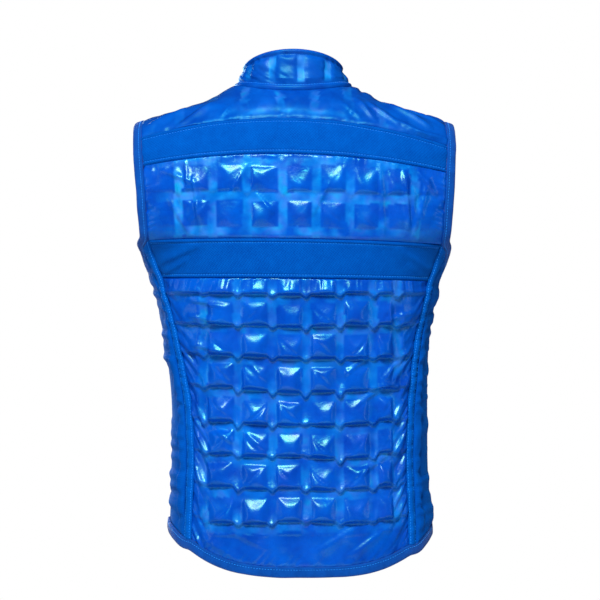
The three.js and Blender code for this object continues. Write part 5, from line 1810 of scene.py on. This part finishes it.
# %% Floor, light and camera
FLOOR_DROP = 1.42
bpy.ops.mesh.primitive_circle_add(vertices=96, radius=4.0, fill_type="NGON", location=(0, 0, -FLOOR_DROP))
floor = bpy.context.object
floor.name = "studio_floor"
floor_finish = Finish("pale studio floor")
grain = floor_finish.noise(floor_finish.coordinates((1, 1, 1), uv=False), 3.0)
paleness = floor_finish.ramp(grain, [(0.3, (0.8, 0.8, 0.81)), (0.7, (0.84, 0.84, 0.85))])
floor_finish.join(paleness, floor_finish.shader.inputs["Base Color"])
set_socket(floor_finish.shader, "Roughness", 0.9)
floor.data.materials.append(floor_finish.material)

world = bpy.data.worlds.new("pale studio")
world.use_nodes = True
bpy.context.scene.world = world
nodes, links = world.node_tree.nodes, world.node_tree.links
seen = nodes.new("ShaderNodeBackground")
seen.inputs["Color"].default_value = (1, 1, 1, 1)
lit = nodes["Background"]
lit.inputs["Color"].default_value = (0.8, 0.9, 1.0, 1)
lit.inputs["Strength"].default_value = 0.1
rays, blend = nodes.new("ShaderNodeLightPath"), nodes.new("ShaderNodeMixShader")
links.new(rays.outputs["Is Camera Ray"], blend.inputs["Fac"])
links.new(lit.outputs[0], blend.inputs[1])
links.new(seen.outputs[0], blend.inputs[2])
links.new(blend.outputs[0], nodes["World Output"].inputs["Surface"])


def soft_box(name, place, aim, size, watts, color=(1, 1, 1)):
    data = bpy.data.lights.new(name, "AREA")
    data.shape = "RECTANGLE"
    data.size, data.size_y = size
    data.energy = watts
    data.color = color
    lamp = bpy.data.objects.new(name, data)
    lamp.location = place
    lamp.rotation_euler = (Vector(aim) - Vector(place)).to_track_quat("-Z", "Y").to_euler()
    bpy.context.scene.collection.objects.link(lamp)


MIDDLE = (0.0, 0.0, -0.3)
soft_box("box over the camera", (-0.4, -2.45, 2.25), MIDDLE, (1.3, 0.8), 175, (0.8, 0.92, 1.0))
soft_box("low box", (0.0, -1.7, -1.3), MIDDLE, (1.2, 0.4), 2.5, (0.5, 0.8, 1.0))
soft_box("box on the left", (-1.9, -1.0, 0.1), MIDDLE, (0.3, 1.5), 3.5)
soft_box("box on the right", (1.9, -0.9, 0.2), MIDDLE, (0.3, 1.4), 3)
soft_box("box in front of the wearer", (-1.1, 2.0, 0.1), MIDDLE, (0.9, 1.2), 34)

FRAME_MM = 780.0
CAMERA_BACK = 3.0
SENSOR = 36.0
camera_data = bpy.data.cameras.new("camera")
camera_data.sensor_width = SENSOR
camera_data.lens = SENSOR * CAMERA_BACK / (FRAME_MM * MM)
camera = bpy.data.objects.new("camera", camera_data)
camera.location = (0.006, -CAMERA_BACK, -0.2756)
camera.rotation_euler = (math.pi / 2, 0, 0)
bpy.context.scene.collection.objects.link(camera)
bpy.context.scene.camera = camera
bpy.context.scene.view_settings.view_transform = "Standard"
print("camera", round(camera_data.lens, 1), "mm lens, frame", FRAME_MM, "mm")
